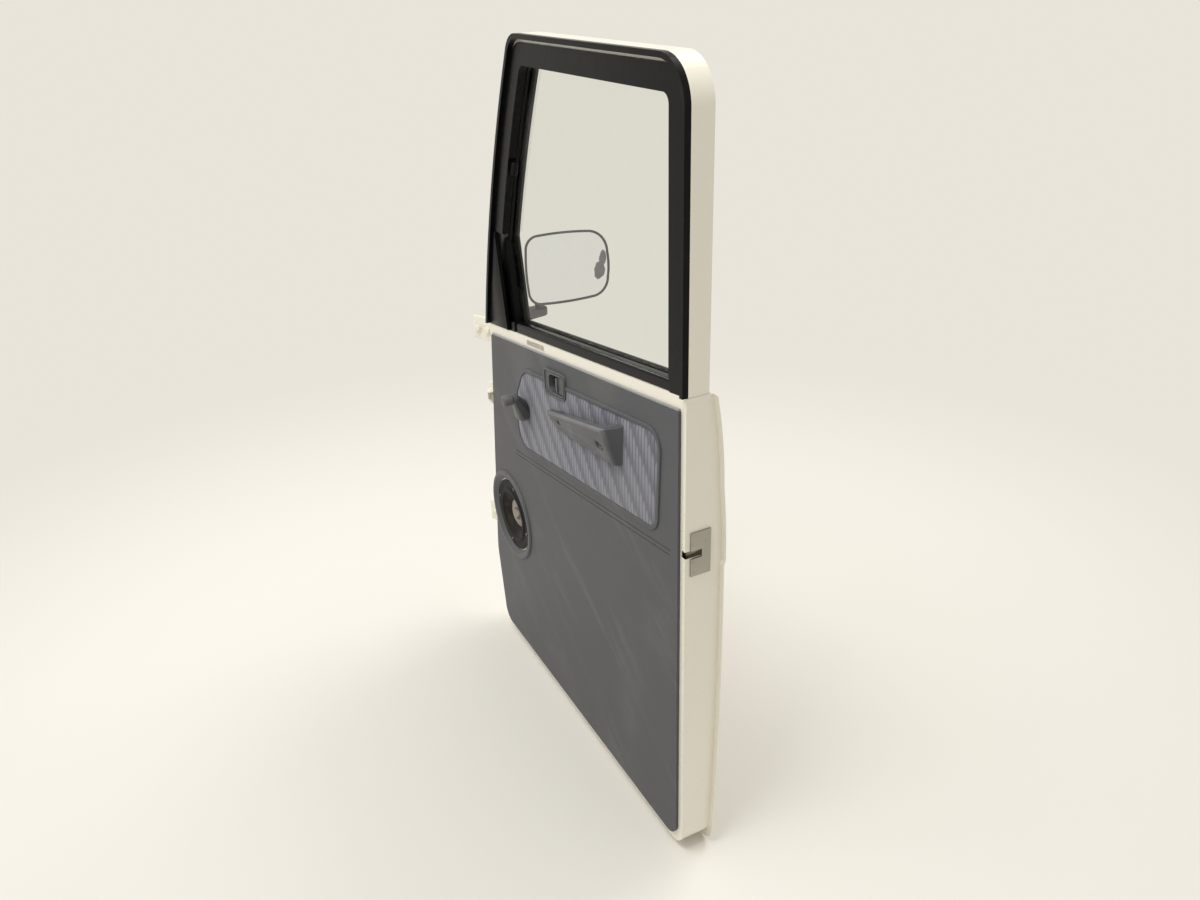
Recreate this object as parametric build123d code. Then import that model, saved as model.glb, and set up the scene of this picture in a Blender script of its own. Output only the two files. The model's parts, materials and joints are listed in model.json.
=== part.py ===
"""Right-hand front door of a cab-over van, open on its hinges, with its trim and mirror.

Millimetres, +Z up. +X runs from the hinge edge back to the latch edge, +Y from the cab
outwards. The origin is the centre of the face where the upper hinge bolts to the pillar.
The door is drawn in its own frame, whose zero is the front top corner of the inner trim,
on the trim's face. The pieces on the pillar are drawn about the hinge pin, as they lie
with the door shut, and then turned by the angle that the door stands open.
"""

import os
from math import asin, atan2, cos, degrees, radians, sin, tan

from build123d import *

os.makedirs("parts", exist_ok=True)

# How the door stands
OPEN_ANGLE = 64.0

# Side view of the door below the window, measured at the trim's edge
BELT_SLOPE = 0.15
KNEE_X, KNEE_Z = -76.0, -556.0
FOOT_X = -53.0
TRIM_BOTTOM = -745.0
TRIM_REAR = 722.0
TRIM_THICKNESS = 5.0
KNEE_RADIUS = 120.0
CORNER_RADIUS = 34.0

# Pressed steel inner panel and outer skin
SHEET = 2.0
PANEL_MARGIN = 13.0
HEM_MARGIN = 10.0
BELT_RAIL_TOP = 22.0
RAIL_DEPTH = 17.0
SKIN_TOP_Y = 46.0
SKIN_SHOULDER_Y = 67.0
SKIN_CREASE_Y = 74.0
SKIN_HEM_Y = 60.0
CREASE_Z = -262.0
CREASE_STEP = 3.0
SKIN_LOW_Z = -920.0
SKIN_HIGH_Z = 44.0
BEYOND_FRONT, BEYOND_REAR = -300.0, 900.0
BEYOND_LOW, BEYOND_HIGH = -900.0, 700.0

# Window frame
FRAME_TOP = 580.0
FRAME_INNER_Y = 8.0
FRAME_OUTER_Y = 43.0
FRAME_WIDTH = 46.0
FRAME_FRONT_RADIUS = 46.0
FRAME_REAR_RADIUS = 62.0
POST_FOOT_X, POST_FOOT_Z = -25.0, 9.0
POST_MID_X, POST_MID_Z = 40.0, 229.0
POST_TOP_X = 198.0
FLANGE_SHOWING = 13.0
GARNISH_THICKNESS = 3.0
GARNISH_LIP = 2.5
LEG_DEPTH = 60.0
SEAL_WIDTH = 8.0
SEAL_PROUD = 10.0

# Glass and what it runs in
GLASS_Y = 26.0
GLASS_THICKNESS = 4.0
GLASS_BELOW_BELT = 110.0
RUN_DEPTH = 14.0
RUN_LIP = 4.0
RUN_WIDTH = 16.0
GLASS_CLEARANCE = 0.4
GLASS_EDGE = 8.0
DIVISION_FOOT_X, DIVISION_FOOT_Z = 94.0, 28.0
DIVISION_LEAN = -0.16
DIVISION_WIDTH = 22.0
DIVISION_TOP = 216.0
STRIP_HEIGHT = 19.0
STRIP_ROUND = 5.5

# Trim, insert and their raised border
BEAD_WIDTH = 3.0
BEAD_PROUD = 2.0
INSERT_POCKET = 2.2
INSERT_PROUD = 0.8
SEAT_GAP = 0.3
RIDGE_GAP = 1.0
RIDGE_WIDTH = 8.0
RIDGE_PROUD = 2.6
RIDGE_ROUND = 2.0
GROOVE_OFFSETS = (24.0, 33.0)
GROOVE_WIDTH = 2.0
GROOVE_DEPTH = 0.8

# Speaker and its bezel
SPEAKER_X, SPEAKER_Z = 36.0, -412.0
BEZEL_RADIUS = 102.0
BEZEL_BORE = 89.0
BEZEL_PROUD = 5.0
BEZEL_SKIRT = 83.5
BASKET_RADIUS = 82.0
BASKET_WALL = 1.5
CONE_RADIUS = 66.0
CONE_PAPER = 1.0
CONE_FOOT = 24.0
SURROUND_WIDTH = 15.0
SURROUND_RISE = 5.0
MAGNET_RADIUS = 36.0
MAGNET_HEIGHT = 14.0
SPEAKER_DEPTH = 46.0
DUST_CAP_RADIUS = 26.0
CAP_RISE = 11.0

# Inside handle
SCOOP_X, SCOOP_Z = 308.0, 1.0
SCOOP_LENGTH, SCOOP_HEIGHT = 86.0, 50.0
SCOOP_CORNER = 10.0
SCOOP_PROUD = 2.6
SCOOP_RIM, SCOOP_RIM_PROUD = 2.6, 4.2
CUP_FRONT_X, CUP_REAR_X = 286.0, 343.0
CUP_HEIGHT = 35.0
CUP_FRONT_RADIUS, CUP_REAR_RADIUS = 13.0, 5.0
CUP_LIP = 3.0
CUP_DEPTH = 18.0
LEVER_LENGTH = 25.0
LEVER_PROUD, LEVER_EDGE_PROUD = 2.6, 5.4

# Armrest with its finger slot
ARM_FRONT_X, ARM_RIDGE_X, ARM_REAR_X = 284.0, 550.0, 564.0
ARM_TOP_FRONT_Z, ARM_TOP_REAR_Z = -57.0, 19.0
ARM_LOW_X, ARM_LOW_Z = 346.0, -84.0
ARM_FRONT_PROUD, ARM_PROUD = 14.0, 38.0
ARM_FACE_LEAN = 17.6
ARM_CREASE, ARM_RIDGE_ROUND, ARM_LOW_ROUND = 10.0, 3.5, 6.0
SLOT_FRONT_X, SLOT_MIDDLE_X, SLOT_REAR_X = 340.0, 400.0, 532.0
SLOT_WALL = 13.0
SLOT_FRONT_DEPTH, SLOT_MIDDLE_DEPTH, SLOT_DEPTH = 8.0, 30.0, 40.0
ARM_DIMPLES = ((515.0, -29.0, 30.0, 18.0), (337.0, -62.0, 16.0, 10.0))
DIMPLE_DEPTH = 5.0

# Window crank
CRANK_X, CRANK_Z = 158.0, -106.0
CRANK_LENGTH = 53.0
CRANK_ANGLE = 52.0
CRANK_BOSS_RADIUS = 18.0
CRANK_BOSS_HEIGHT = 22.0
CRANK_RISE = 17.0
CRANK_ARM_THICKNESS = 9.0
CRANK_ARM_RADII = (16.5, 10.0)
KNOB_RADIUS = 10.5
KNOB_LENGTH = 20.0

# Hinges
PIN_X, PIN_Y = -103.0, 46.0
HINGE_HEIGHTS = {"upper": -40.0, "lower": -510.0}
PIN_RADIUS = 4.0
PIN_CLEARANCE = 0.1
KNUCKLE_RADIUS = 8.0
KNUCKLE_HALF = 11.0
EAR_HEIGHT = 12.0
EAR_GAP = 0.6
LEAF_THICKNESS = 5.0
LEAF_HALF_HEIGHT = 27.0
JAMB_X = -16.0
PILLAR_LEAF_NEAR, PILLAR_LEAF_FAR = 14.0, 70.0
PILLAR_HOLES = (28.0, 56.0)
BOLT_HOLE_RADIUS = 4.5
DOOR_LEAF_IN, DOOR_LEAF_OUT = -34.0, 4.0

# Check link
CHECK_Z = -193.0
CHECK_PIVOT_X, CHECK_PIVOT_Y = -2.0, -28.0
CHECK_HOLE_Y = -22.0
STRAP_LENGTH = 124.0
STRAP_THICKNESS = 6.0
STRAP_HEIGHT = 16.0
CLEVIS_PLATE = 4.0
CHECK_PIN_RADIUS = 4.0
CHECK_HOLE_HEIGHT = 20.0
CHECK_HOLE_RADIUS = 3.0
CHECK_HOLE_EDGE = 7.0
CHECK_BOX_DEPTH = 20.0
CHECK_CLEARANCE = 5.0

# Latch edge
LATCH_Z = -130.0
LATCH_HEIGHT = 78.0
LATCH_DEPTH = 34.0
LATCH_SLOT = 14.0
LATCH_SLOT_END = 34.0
LATCH_NECK = 8.0
OUTER_HANDLE_X = 628.0
OUTER_HANDLE_Z = 14.0
OUTER_HANDLE_LENGTH, OUTER_HANDLE_HEIGHT = 140.0, 48.0
LOCK_LEAD = 6.0
LOCK_DROP = 46.0
LOCK_RADIUS = 11.0

# Door mirror
MIRROR_BASE_PROUD = 10.0
MIRROR_PIVOT_X, MIRROR_PIVOT_Y = 44.0, 92.0
MIRROR_LOW_Z = 48.0
MIRROR_WIDTH, MIRROR_HEIGHT = 206.0, 164.0
MIRROR_DEPTH = 58.0
MIRROR_INNER_Y = 64.0
MIRROR_FACE_X = 62.0
MIRROR_WALL = 4.5
MIRROR_RADIUS = 50.0
MIRROR_INNER_RADIUS = 36.0
MIRROR_BACK_ROUND = 26.0
BASE_REACH_TOP, BASE_REACH_LOW = 5.0, 24.0
FOOT_GAP = 1.0
FOOT_THICKNESS = 16.0
FOOT_RADIUS = 19.0
MIRROR_PIN_RADIUS = 5.0

TRIM_CORNER_LEAN = KNEE_X / KNEE_Z
LOCK_X = OUTER_HANDLE_X - LOCK_LEAD


def side(face, inner_y, outer_y):
    """Raise a side-view face, drawn in X and Z, from one depth to another."""
    return extrude(Plane.XZ.offset(-inner_y) * face, amount=inner_y - outer_y)


def outline(points, radii):
    """Face of a closed outline with its own radius at each corner."""
    return Sketch() + make_face(FilletPolyline(*points, radius=radii, close=True))


def plain(points):
    """Face of a closed outline with sharp corners."""
    return Sketch() + make_face(Polyline(*points, close=True))


def belt(x, above=0.0):
    """Height of the belt line, or of a line beside it, at a place along the door."""
    return BELT_SLOPE * x + above


def front_edge(z, grow=0.0):
    """Front edge of the door below the window at a height."""
    return TRIM_CORNER_LEAN * z - grow


def lower_outline(grow, top):
    """Side view below the window, larger than the trim by grow, its top above the belt."""
    front_x = (TRIM_CORNER_LEAN * top - grow) / (1 - TRIM_CORNER_LEAN * BELT_SLOPE)
    rear_x = TRIM_REAR + grow
    low = TRIM_BOTTOM - grow
    points = [
        (front_x, belt(front_x, top)),
        (KNEE_X - grow, KNEE_Z),
        (FOOT_X - grow, low),
        (rear_x, low),
        (rear_x, belt(rear_x, top)),
    ]
    return outline(points, [3, KNEE_RADIUS + grow, CORNER_RADIUS, CORNER_RADIUS, 3])


def skin_line(shift):
    """Door's outer curve in section, as edges in Y and Z from its top to its foot."""
    shoulder_z = -130.0
    curve = [
        ThreePointArc((SKIN_TOP_Y, SKIN_HIGH_Z), (60, -35), (SKIN_SHOULDER_Y, shoulder_z)),
        ThreePointArc((SKIN_SHOULDER_Y, shoulder_z), (72, -198), (SKIN_CREASE_Y, CREASE_Z)),
        Line((SKIN_CREASE_Y, CREASE_Z), (SKIN_CREASE_Y - CREASE_STEP, CREASE_Z - 9)),
        ThreePointArc(
            (SKIN_CREASE_Y - CREASE_STEP, CREASE_Z - 9), (71, -570), (SKIN_HEM_Y, SKIN_LOW_Z)
        ),
    ]
    return [Pos(shift, 0, 0) * edge for edge in curve]


def skin_section(outer_shift, inner_shift=None):
    """Section between two copies of the skin's curve, or from one in to the trim's back."""
    outer = skin_line(outer_shift)
    top_y, low_y = SKIN_TOP_Y + outer_shift, SKIN_HEM_Y + outer_shift
    if inner_shift is None:
        back = TRIM_THICKNESS
        rest = [Polyline((low_y, SKIN_LOW_Z), (back, SKIN_LOW_Z), (back, SKIN_HIGH_Z),
                         (top_y, SKIN_HIGH_Z))]
    else:
        inner_top, inner_low = SKIN_TOP_Y + inner_shift, SKIN_HEM_Y + inner_shift
        rest = skin_line(inner_shift) + [
            Line((low_y, SKIN_LOW_Z), (inner_low, SKIN_LOW_Z)),
            Line((top_y, SKIN_HIGH_Z), (inner_top, SKIN_HIGH_Z)),
        ]
    return make_face(outer + rest)


def along_door(section):
    """Run a section in Y and Z along the door, rising with the belt."""
    start, length = -260.0, 1200.0
    tilt = atan2(BELT_SLOPE, 1)
    plane = Plane(origin=(start, 0, belt(start)), x_dir=(0, 1, 0), z_dir=(cos(tilt), 0, sin(tilt)))
    return extrude(plane * section, amount=length)


def frame_region(inset):
    """Side view of the window frame's outer line, moved in by inset."""
    across = inset * 1.06
    top = FRAME_TOP - inset
    rear = TRIM_REAR + PANEL_MARGIN - inset
    front = ThreePointArc(
        (POST_FOOT_X + across, POST_FOOT_Z),
        (POST_MID_X + across, POST_MID_Z),
        (POST_TOP_X + across, FRAME_TOP),
    )
    rest = Polyline(
        (POST_TOP_X + across, FRAME_TOP), (rear, FRAME_TOP), (rear, POST_FOOT_Z),
        (POST_FOOT_X + across, POST_FOOT_Z),
    )
    region = Sketch() + make_face([front, rest])
    region &= below_height(top)
    front_corner = region.vertices().group_by(Axis.Y)[-1].sort_by(Axis.X)[0]
    region = Sketch() + fillet(front_corner, max(FRAME_FRONT_RADIUS - inset / 2, 12))
    rear_corner = region.vertices().group_by(Axis.Y)[-1].sort_by(Axis.X)[-1]
    return Sketch() + fillet(rear_corner, max(FRAME_REAR_RADIUS - inset, 14))


def division_x(z, rearward=0.0):
    """Front edge of the division bar at a height, or a line behind it."""
    return DIVISION_FOOT_X + DIVISION_LEAN * (z - DIVISION_FOOT_Z) + rearward


def beyond_division(rearward):
    """Region behind a line parallel to the division bar."""
    low, high = BEYOND_LOW, BEYOND_HIGH
    return plain([
        (division_x(low, rearward), low), (BEYOND_REAR, low), (BEYOND_REAR, high),
        (division_x(high, rearward), high),
    ])


def above_belt(above):
    """Region above a line parallel to the belt."""
    return plain([
        (BEYOND_FRONT, belt(BEYOND_FRONT, above)), (BEYOND_REAR, belt(BEYOND_REAR, above)),
        (BEYOND_REAR, BEYOND_HIGH), (BEYOND_FRONT, BEYOND_HIGH),
    ])


def below_belt(above):
    """Region below a line parallel to the belt."""
    return plain([
        (BEYOND_FRONT, BEYOND_LOW), (BEYOND_REAR, BEYOND_LOW),
        (BEYOND_REAR, belt(BEYOND_REAR, above)), (BEYOND_FRONT, belt(BEYOND_FRONT, above)),
    ])


def below_height(high, rear=BEYOND_REAR):
    """Region below a level line and in front of an upright one."""
    return plain([
        (BEYOND_FRONT, BEYOND_LOW), (rear, BEYOND_LOW), (rear, high), (BEYOND_FRONT, high)
    ])


def disc(x, z, radius):
    """Round face in the side view."""
    return Pos(x, z) * Circle(radius)


def insert_region(grow=0.0):
    """Outline of the fabric insert."""
    points = [(112, -104), (160, -27), (668, 50), (657, -118), (124, -198)]
    face = outline(points, [100, 55, 24, 26, 34])
    return offset(face, amount=grow) if grow else face


def scoop_region(grow=0.0):
    """Outline of the inside handle's plate, whose long sides follow the belt."""
    half_length, half_height = SCOOP_LENGTH / 2 + grow, SCOOP_HEIGHT / 2 + grow
    rise = BELT_SLOPE * half_length
    points = [
        (SCOOP_X - half_length, SCOOP_Z - rise - half_height),
        (SCOOP_X + half_length, SCOOP_Z + rise - half_height),
        (SCOOP_X + half_length, SCOOP_Z + rise + half_height),
        (SCOOP_X - half_length, SCOOP_Z - rise + half_height),
    ]
    return outline(points, [SCOOP_CORNER + grow] * 4)


def cup_region(grow=0.0):
    """Outline of the cup in the inside handle's plate."""
    front, rear = CUP_FRONT_X - grow, CUP_REAR_X + grow
    half = CUP_HEIGHT / 2 + grow
    centre = SCOOP_Z - BELT_SLOPE * SCOOP_X
    points = [
        (front, belt(front, centre - half)), (rear, belt(rear, centre - half)),
        (rear, belt(rear, centre + half)), (front, belt(front, centre + half)),
    ]
    radii = [CUP_FRONT_RADIUS, CUP_REAR_RADIUS, CUP_REAR_RADIUS, CUP_FRONT_RADIUS]
    return outline(points, [radius + grow for radius in radii])


# The door's shell

def outer_skin():
    """Curved outer sheet with the recess for its handle and the key's hole."""
    skin = along_door(skin_section(0, -SHEET))
    face = lower_outline(PANEL_MARGIN + HEM_MARGIN, BELT_RAIL_TOP - 2)
    skin &= side(face, -50, 120)
    skin -= side(handle_region(SEAT_GAP), 20, 120)
    return skin - side(disc(LOCK_X, lock_height(), LOCK_RADIUS + SEAT_GAP), 20, 120)


def inner_panel():
    """Pressed inner panel: a pan whose walls reach the skin, with the holes in its face."""
    room = along_door(skin_section(-SHEET))
    face = lower_outline(PANEL_MARGIN, BELT_RAIL_TOP)
    pan = room & side(face, 0, 120)
    inner = lower_outline(PANEL_MARGIN - SHEET, BELT_RAIL_TOP + 60)
    pan -= side(inner, TRIM_THICKNESS + SHEET, 120)
    rail = above_belt(BELT_RAIL_TOP - SHEET) & below_belt(BELT_RAIL_TOP)
    front_x = DIVISION_FOOT_X + DIVISION_WIDTH + 2
    rear_x = TRIM_REAR + PANEL_MARGIN - FRAME_WIDTH - 2
    rail &= plain([(front_x, BEYOND_LOW), (rear_x, BEYOND_LOW), (rear_x, BEYOND_HIGH), (front_x, BEYOND_HIGH)])
    pan += side(rail, TRIM_THICKNESS, TRIM_THICKNESS + RAIL_DEPTH)
    pan -= side(disc(SPEAKER_X, SPEAKER_Z, CONE_RADIUS + BASKET_WALL + 2), 0, 20)
    pan -= side(cup_region(SHEET + SEAT_GAP), 0, 20)
    check_y = PIN_Y + CHECK_HOLE_Y
    pan -= Pos(front_edge(CHECK_Z, PANEL_MARGIN), check_y, CHECK_Z) * Box(
        30, STRAP_THICKNESS + 4 * CHECK_CLEARANCE, STRAP_HEIGHT + 2 * CHECK_CLEARANCE)
    return pan - striker_slot(LATCH_SLOT_END + LATCH_NECK + SEAT_GAP)


# The window frame

def frame_ring():
    """Whole frame in side view with the groove that the rubber run sits in."""
    ring = frame_region(0) - frame_region(FRAME_WIDTH)
    ring &= above_belt(BELT_RAIL_TOP)
    body = side(ring, FRAME_INNER_Y, FRAME_OUTER_Y)
    groove_low = GLASS_Y + GLASS_THICKNESS / 2 - RUN_WIDTH / 2
    groove = frame_region(FRAME_WIDTH - RUN_DEPTH) & beyond_division(DIVISION_WIDTH - GLASS_EDGE)
    return body - side(groove & above_belt(BELT_RAIL_TOP - 5), groove_low, groove_low + RUN_WIDTH)


def mitre_region():
    """Part of the side view that belongs to the frame's top rail."""
    width = FRAME_WIDTH * 1.06
    rear = TRIM_REAR + PANEL_MARGIN
    reach = 1.6
    return plain([
        (POST_TOP_X + width - 12, FRAME_TOP - FRAME_WIDTH - 4),
        (POST_TOP_X - width * (reach - 1), FRAME_TOP + FRAME_WIDTH * (reach - 1)),
        (rear + FRAME_WIDTH * (reach - 1), FRAME_TOP + FRAME_WIDTH * (reach - 1)),
        (rear - FRAME_WIDTH - 4, FRAME_TOP - FRAME_WIDTH - 4),
    ])


def split_frame(body, inner_y, outer_y):
    """Cut a frame-shaped body into its front post, top rail and rear post."""
    mitre = side(mitre_region(), inner_y, outer_y)
    front_half = side(below_height(BEYOND_HIGH, TRIM_REAR / 2), inner_y, outer_y)
    sides = body - mitre
    return {"front": sides & front_half, "top": body & mitre, "rear": sides - front_half}


def frame_legs():
    """Legs that carry the two posts down inside the panel."""
    inset = SHEET + 1
    top = BELT_RAIL_TOP
    front_x = (TRIM_CORNER_LEAN * top - PANEL_MARGIN) / (1 - TRIM_CORNER_LEAN * BELT_SLOPE) + inset
    rear_x = TRIM_REAR + PANEL_MARGIN - inset
    spans = {"front": (front_x, front_x + 40), "rear": (rear_x - 42, rear_x)}
    legs = {}
    for name, (low_x, high_x) in spans.items():
        face = plain([
            (low_x, belt(low_x, top - LEG_DEPTH)), (high_x, belt(high_x, top - LEG_DEPTH)),
            (high_x, belt(high_x, top)), (low_x, belt(low_x, top)),
        ])
        legs[name] = side(face, TRIM_THICKNESS + SHEET + 1, SKIN_TOP_Y - SHEET - 4)
    return legs


def sail_region(inset, rearward):
    """Triangle between the raked post and the division bar."""
    region = frame_region(inset) & above_belt(BELT_RAIL_TOP + SEAT_GAP)
    region &= below_height(DIVISION_TOP + 8)
    return region - beyond_division(rearward)


def frame_nodes():
    """Three members of the window frame, the front one with the mirror's plate."""
    members = split_frame(frame_ring(), -20, 80)
    legs = frame_legs()
    web = sail_region(FRAME_WIDTH - 2, DIVISION_WIDTH - 2) & above_belt(BELT_RAIL_TOP)
    members["front"] += side(web, FRAME_OUTER_Y - 4, FRAME_OUTER_Y)
    members["front"] += legs["front"]
    members["rear"] += legs["rear"]
    members["front"] -= division_bar(GLASS_CLEARANCE)
    return members


def division_bar(grow=0.0):
    """Upright channel that guides the glass's front edge."""
    low, high = belt(DIVISION_FOOT_X, BELT_RAIL_TOP - GLASS_BELOW_BELT), DIVISION_TOP
    face = plain([
        (division_x(low, -grow), low), (division_x(low, DIVISION_WIDTH + grow), low),
        (division_x(high, DIVISION_WIDTH + grow), high + grow), (division_x(high, -grow), high + grow),
    ])
    bar = side(face, 14 - grow, FRAME_OUTER_Y - 5 + grow)
    groove = beyond_division(DIVISION_WIDTH - GLASS_EDGE)
    middle = GLASS_Y + GLASS_THICKNESS / 2
    return bar if grow else bar - side(groove, middle - 4, middle + 4)


def garnish_nodes():
    """Black inner cover of the frame above the sail panel, in three pieces."""
    ring = frame_region(FLANGE_SHOWING) - frame_region(FRAME_WIDTH)
    ring &= above_belt(BELT_RAIL_TOP)
    body = side(ring, FRAME_INNER_Y - GARNISH_THICKNESS, FRAME_INNER_Y)
    lip = frame_region(FRAME_WIDTH) - frame_region(FRAME_WIDTH + GARNISH_LIP)
    run_y = GLASS_Y + GLASS_THICKNESS / 2 - RUN_WIDTH / 2
    body += side(lip & above_belt(BELT_RAIL_TOP + STRIP_HEIGHT + 1), FRAME_INNER_Y - GARNISH_THICKNESS, run_y)
    body -= side(below_height(DIVISION_TOP + 9, (DIVISION_FOOT_X + POST_TOP_X) / 2 + 30), -20, 80)
    return split_frame(body, -20, 80)


def glass_run():
    """Rubber channel round the glass, in the frame's groove."""
    low = GLASS_Y + GLASS_THICKNESS / 2 - RUN_WIDTH / 2 + SEAT_GAP
    high = low + RUN_WIDTH - 2 * SEAT_GAP
    outer = frame_region(FRAME_WIDTH - RUN_DEPTH + SEAT_GAP) & beyond_division(DIVISION_WIDTH + SEAT_GAP)
    inner = frame_region(FRAME_WIDTH + RUN_LIP) & beyond_division(DIVISION_WIDTH)
    rubber = side((outer - inner) & above_belt(BELT_RAIL_TOP + 1), low, high)
    slot = frame_region(FRAME_WIDTH - GLASS_EDGE - 1) & above_belt(-200)
    rubber -= side(slot, GLASS_Y - GLASS_CLEARANCE, GLASS_Y + GLASS_THICKNESS + GLASS_CLEARANCE)
    return rubber


def frame_seal():
    """Rubber lip that stands along the frame's edge."""
    ring = frame_region(0) - frame_region(SEAL_WIDTH)
    ring &= above_belt(BELT_RAIL_TOP)
    return side(ring, FRAME_INNER_Y - SEAL_PROUD, FRAME_INNER_Y)


def window_glass():
    """Drop glass, whose lower edge stays below the belt."""
    region = frame_region(FRAME_WIDTH - GLASS_EDGE) & beyond_division(DIVISION_WIDTH - GLASS_EDGE + 1)
    region &= above_belt(BELT_RAIL_TOP)
    low = BELT_RAIL_TOP - GLASS_BELOW_BELT
    tail = above_belt(low) & below_belt(BELT_RAIL_TOP) & beyond_division(DIVISION_WIDTH - GLASS_EDGE + 1)
    rear = TRIM_REAR + PANEL_MARGIN - FRAME_WIDTH
    tail &= below_height(BEYOND_HIGH, rear)
    return side(region + tail, GLASS_Y, GLASS_Y + GLASS_THICKNESS)


def belt_strip(inner_y, outer_y, base):
    """Rubber wiper along the window's sill."""
    low_x = division_x(DIVISION_FOOT_Z, DIVISION_WIDTH + SEAT_GAP)
    high_x = TRIM_REAR + PANEL_MARGIN - FRAME_WIDTH - RUN_LIP - SEAT_GAP
    face = plain([
        (low_x, belt(low_x, base)), (high_x, belt(high_x, base)),
        (high_x, belt(high_x, base + STRIP_HEIGHT)), (low_x, belt(low_x, base + STRIP_HEIGHT)),
    ])
    strip = side(face, inner_y, outer_y)
    top_edges = strip.edges().filter_by(lambda e: abs(e.tangent_at(0.5).X) > 0.9)
    return fillet(top_edges.sort_by(Axis.Z)[-2:], STRIP_ROUND)


def sail_trim():
    """Black triangular cover inside the foot of the raked post."""
    return side(sail_region(FLANGE_SHOWING, 0), FRAME_INNER_Y - 5, FRAME_INNER_Y)


# Trim and what is on it

def trim_panel():
    """Vinyl-faced board with its pocket, raised border, grooves and holes."""
    body = side(lower_outline(0, 0), 0, TRIM_THICKNESS)
    ridge = insert_region(RIDGE_GAP + RIDGE_WIDTH) - insert_region(RIDGE_GAP)
    border = side(ridge, -RIDGE_PROUD, 0)
    body += fillet(border.faces().sort_by(Axis.Y)[0].edges(), RIDGE_ROUND)
    body -= side(insert_region(), -1, INSERT_POCKET)
    for drop in GROOVE_OFFSETS:
        top = -216.0 - drop
        line = plain([(90, belt(90, top)), (700, belt(700, top)),
                      (700, belt(700, top - GROOVE_WIDTH)), (90, belt(90, top - GROOVE_WIDTH))])
        body -= side(line, -1, GROOVE_DEPTH)
    body -= side(disc(SPEAKER_X, SPEAKER_Z, BEZEL_BORE), -10, 20)
    body -= side(scoop_region(SEAT_GAP), -10, 20)
    return body


def belt_bead():
    """Pale edging along the top of the trim."""
    low_x, high_x = 2.0, TRIM_REAR - 2
    face = plain([(low_x, belt(low_x)), (high_x, belt(high_x)),
                  (high_x, belt(high_x, BEAD_WIDTH)), (low_x, belt(low_x, BEAD_WIDTH))])
    return side(face, TRIM_THICKNESS - SHEET - BEAD_PROUD, TRIM_THICKNESS)


def fabric_insert():
    """Padded board with the striped cloth, in the trim's pocket."""
    body = side(insert_region(-SEAT_GAP), -INSERT_PROUD, INSERT_POCKET)
    return body - side(scoop_region(SEAT_GAP), -10, 20)


def speaker_bezel():
    """Ring round the speaker, rounded on its face."""
    bore, foot = BEZEL_BORE - SEAT_GAP, TRIM_THICKNESS - BASKET_WALL - 2 * SEAT_GAP
    profile = make_face([
        Polyline((bore, foot), (bore, 0), (BEZEL_RADIUS, 0), (BEZEL_RADIUS, -1)),
        ThreePointArc((BEZEL_RADIUS, -1), (BEZEL_RADIUS - 2, 1 - BEZEL_PROUD), (BEZEL_RADIUS - 6, -BEZEL_PROUD)),
        Polyline((BEZEL_RADIUS - 6, -BEZEL_PROUD), (BEZEL_RADIUS - 9, -BEZEL_PROUD),
                 (BEZEL_SKIRT, foot), (bore, foot)),
    ])
    return about_speaker(profile)


def turned(profile, x, z):
    """Turn a profile of radius and depth about an axis across the door."""
    plane = Plane(origin=(x, 0, z), x_dir=(1, 0, 0), z_dir=(0, 0, 1))
    return revolve(plane * profile, axis=Axis((x, 0, z), (0, 1, 0)))


def about_speaker(profile):
    """Turn a profile about the speaker's axis."""
    return turned(profile, SPEAKER_X, SPEAKER_Z)


def speaker():
    """Speaker's pressed basket and magnet, whose flange lies on the inner panel."""
    seat = TRIM_THICKNESS
    neck = SPEAKER_DEPTH - MAGNET_HEIGHT
    wall = BASKET_WALL
    profile = make_face(Polyline(
        (0, SPEAKER_DEPTH), (MAGNET_RADIUS, SPEAKER_DEPTH), (MAGNET_RADIUS, neck),
        (CONE_RADIUS + wall, seat), (BASKET_RADIUS, seat), (BASKET_RADIUS, seat - wall),
        (CONE_RADIUS, seat - wall), (MAGNET_RADIUS - wall, neck), (0, neck), close=True))
    return about_speaker(profile)


def speaker_cone():
    """Paper cone with its rolled surround, which sits on the basket's flange."""
    seat = TRIM_THICKNESS - BASKET_WALL
    edge, paper = BASKET_RADIUS - 2, CONE_PAPER
    roll = edge - SURROUND_WIDTH
    middle = (edge + roll) / 2
    inner = DUST_CAP_RADIUS - 4
    profile = make_face([
        Line((edge, seat), (edge, seat - paper)),
        ThreePointArc((edge, seat - paper), (middle, seat - SURROUND_RISE), (roll, seat - paper)),
        Polyline((roll, seat - paper), (inner, CONE_FOOT - paper), (inner, CONE_FOOT), (roll - 1, seat)),
        ThreePointArc((roll - 1, seat), (middle, seat - SURROUND_RISE + paper), (edge - 3, seat)),
        Line((edge - 3, seat), (edge, seat)),
    ])
    return about_speaker(profile)


def speaker_cap():
    """Domed dust cap, which sits on the cone."""
    low = cone_height(DUST_CAP_RADIUS) - CONE_PAPER
    dome_radius = (DUST_CAP_RADIUS**2 + CAP_RISE**2) / (2 * CAP_RISE)
    half_turn = asin(DUST_CAP_RADIUS / dome_radius) / 2
    middle = (dome_radius * sin(half_turn), low - CAP_RISE + dome_radius * (1 - cos(half_turn)))
    profile = make_face([
        ThreePointArc((DUST_CAP_RADIUS, low), middle, (0, low - CAP_RISE)),
        Polyline((0, low - CAP_RISE), (0, low), (DUST_CAP_RADIUS, low)),
    ])
    return about_speaker(profile)


def cone_height(radius):
    """Depth of the cone's back face at a radius."""
    seat = TRIM_THICKNESS - BASKET_WALL
    roll, inner = BASKET_RADIUS - 2 - SURROUND_WIDTH, DUST_CAP_RADIUS - 4
    share = (roll - radius) / (roll - inner)
    return seat + (CONE_FOOT - seat) * share


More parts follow.
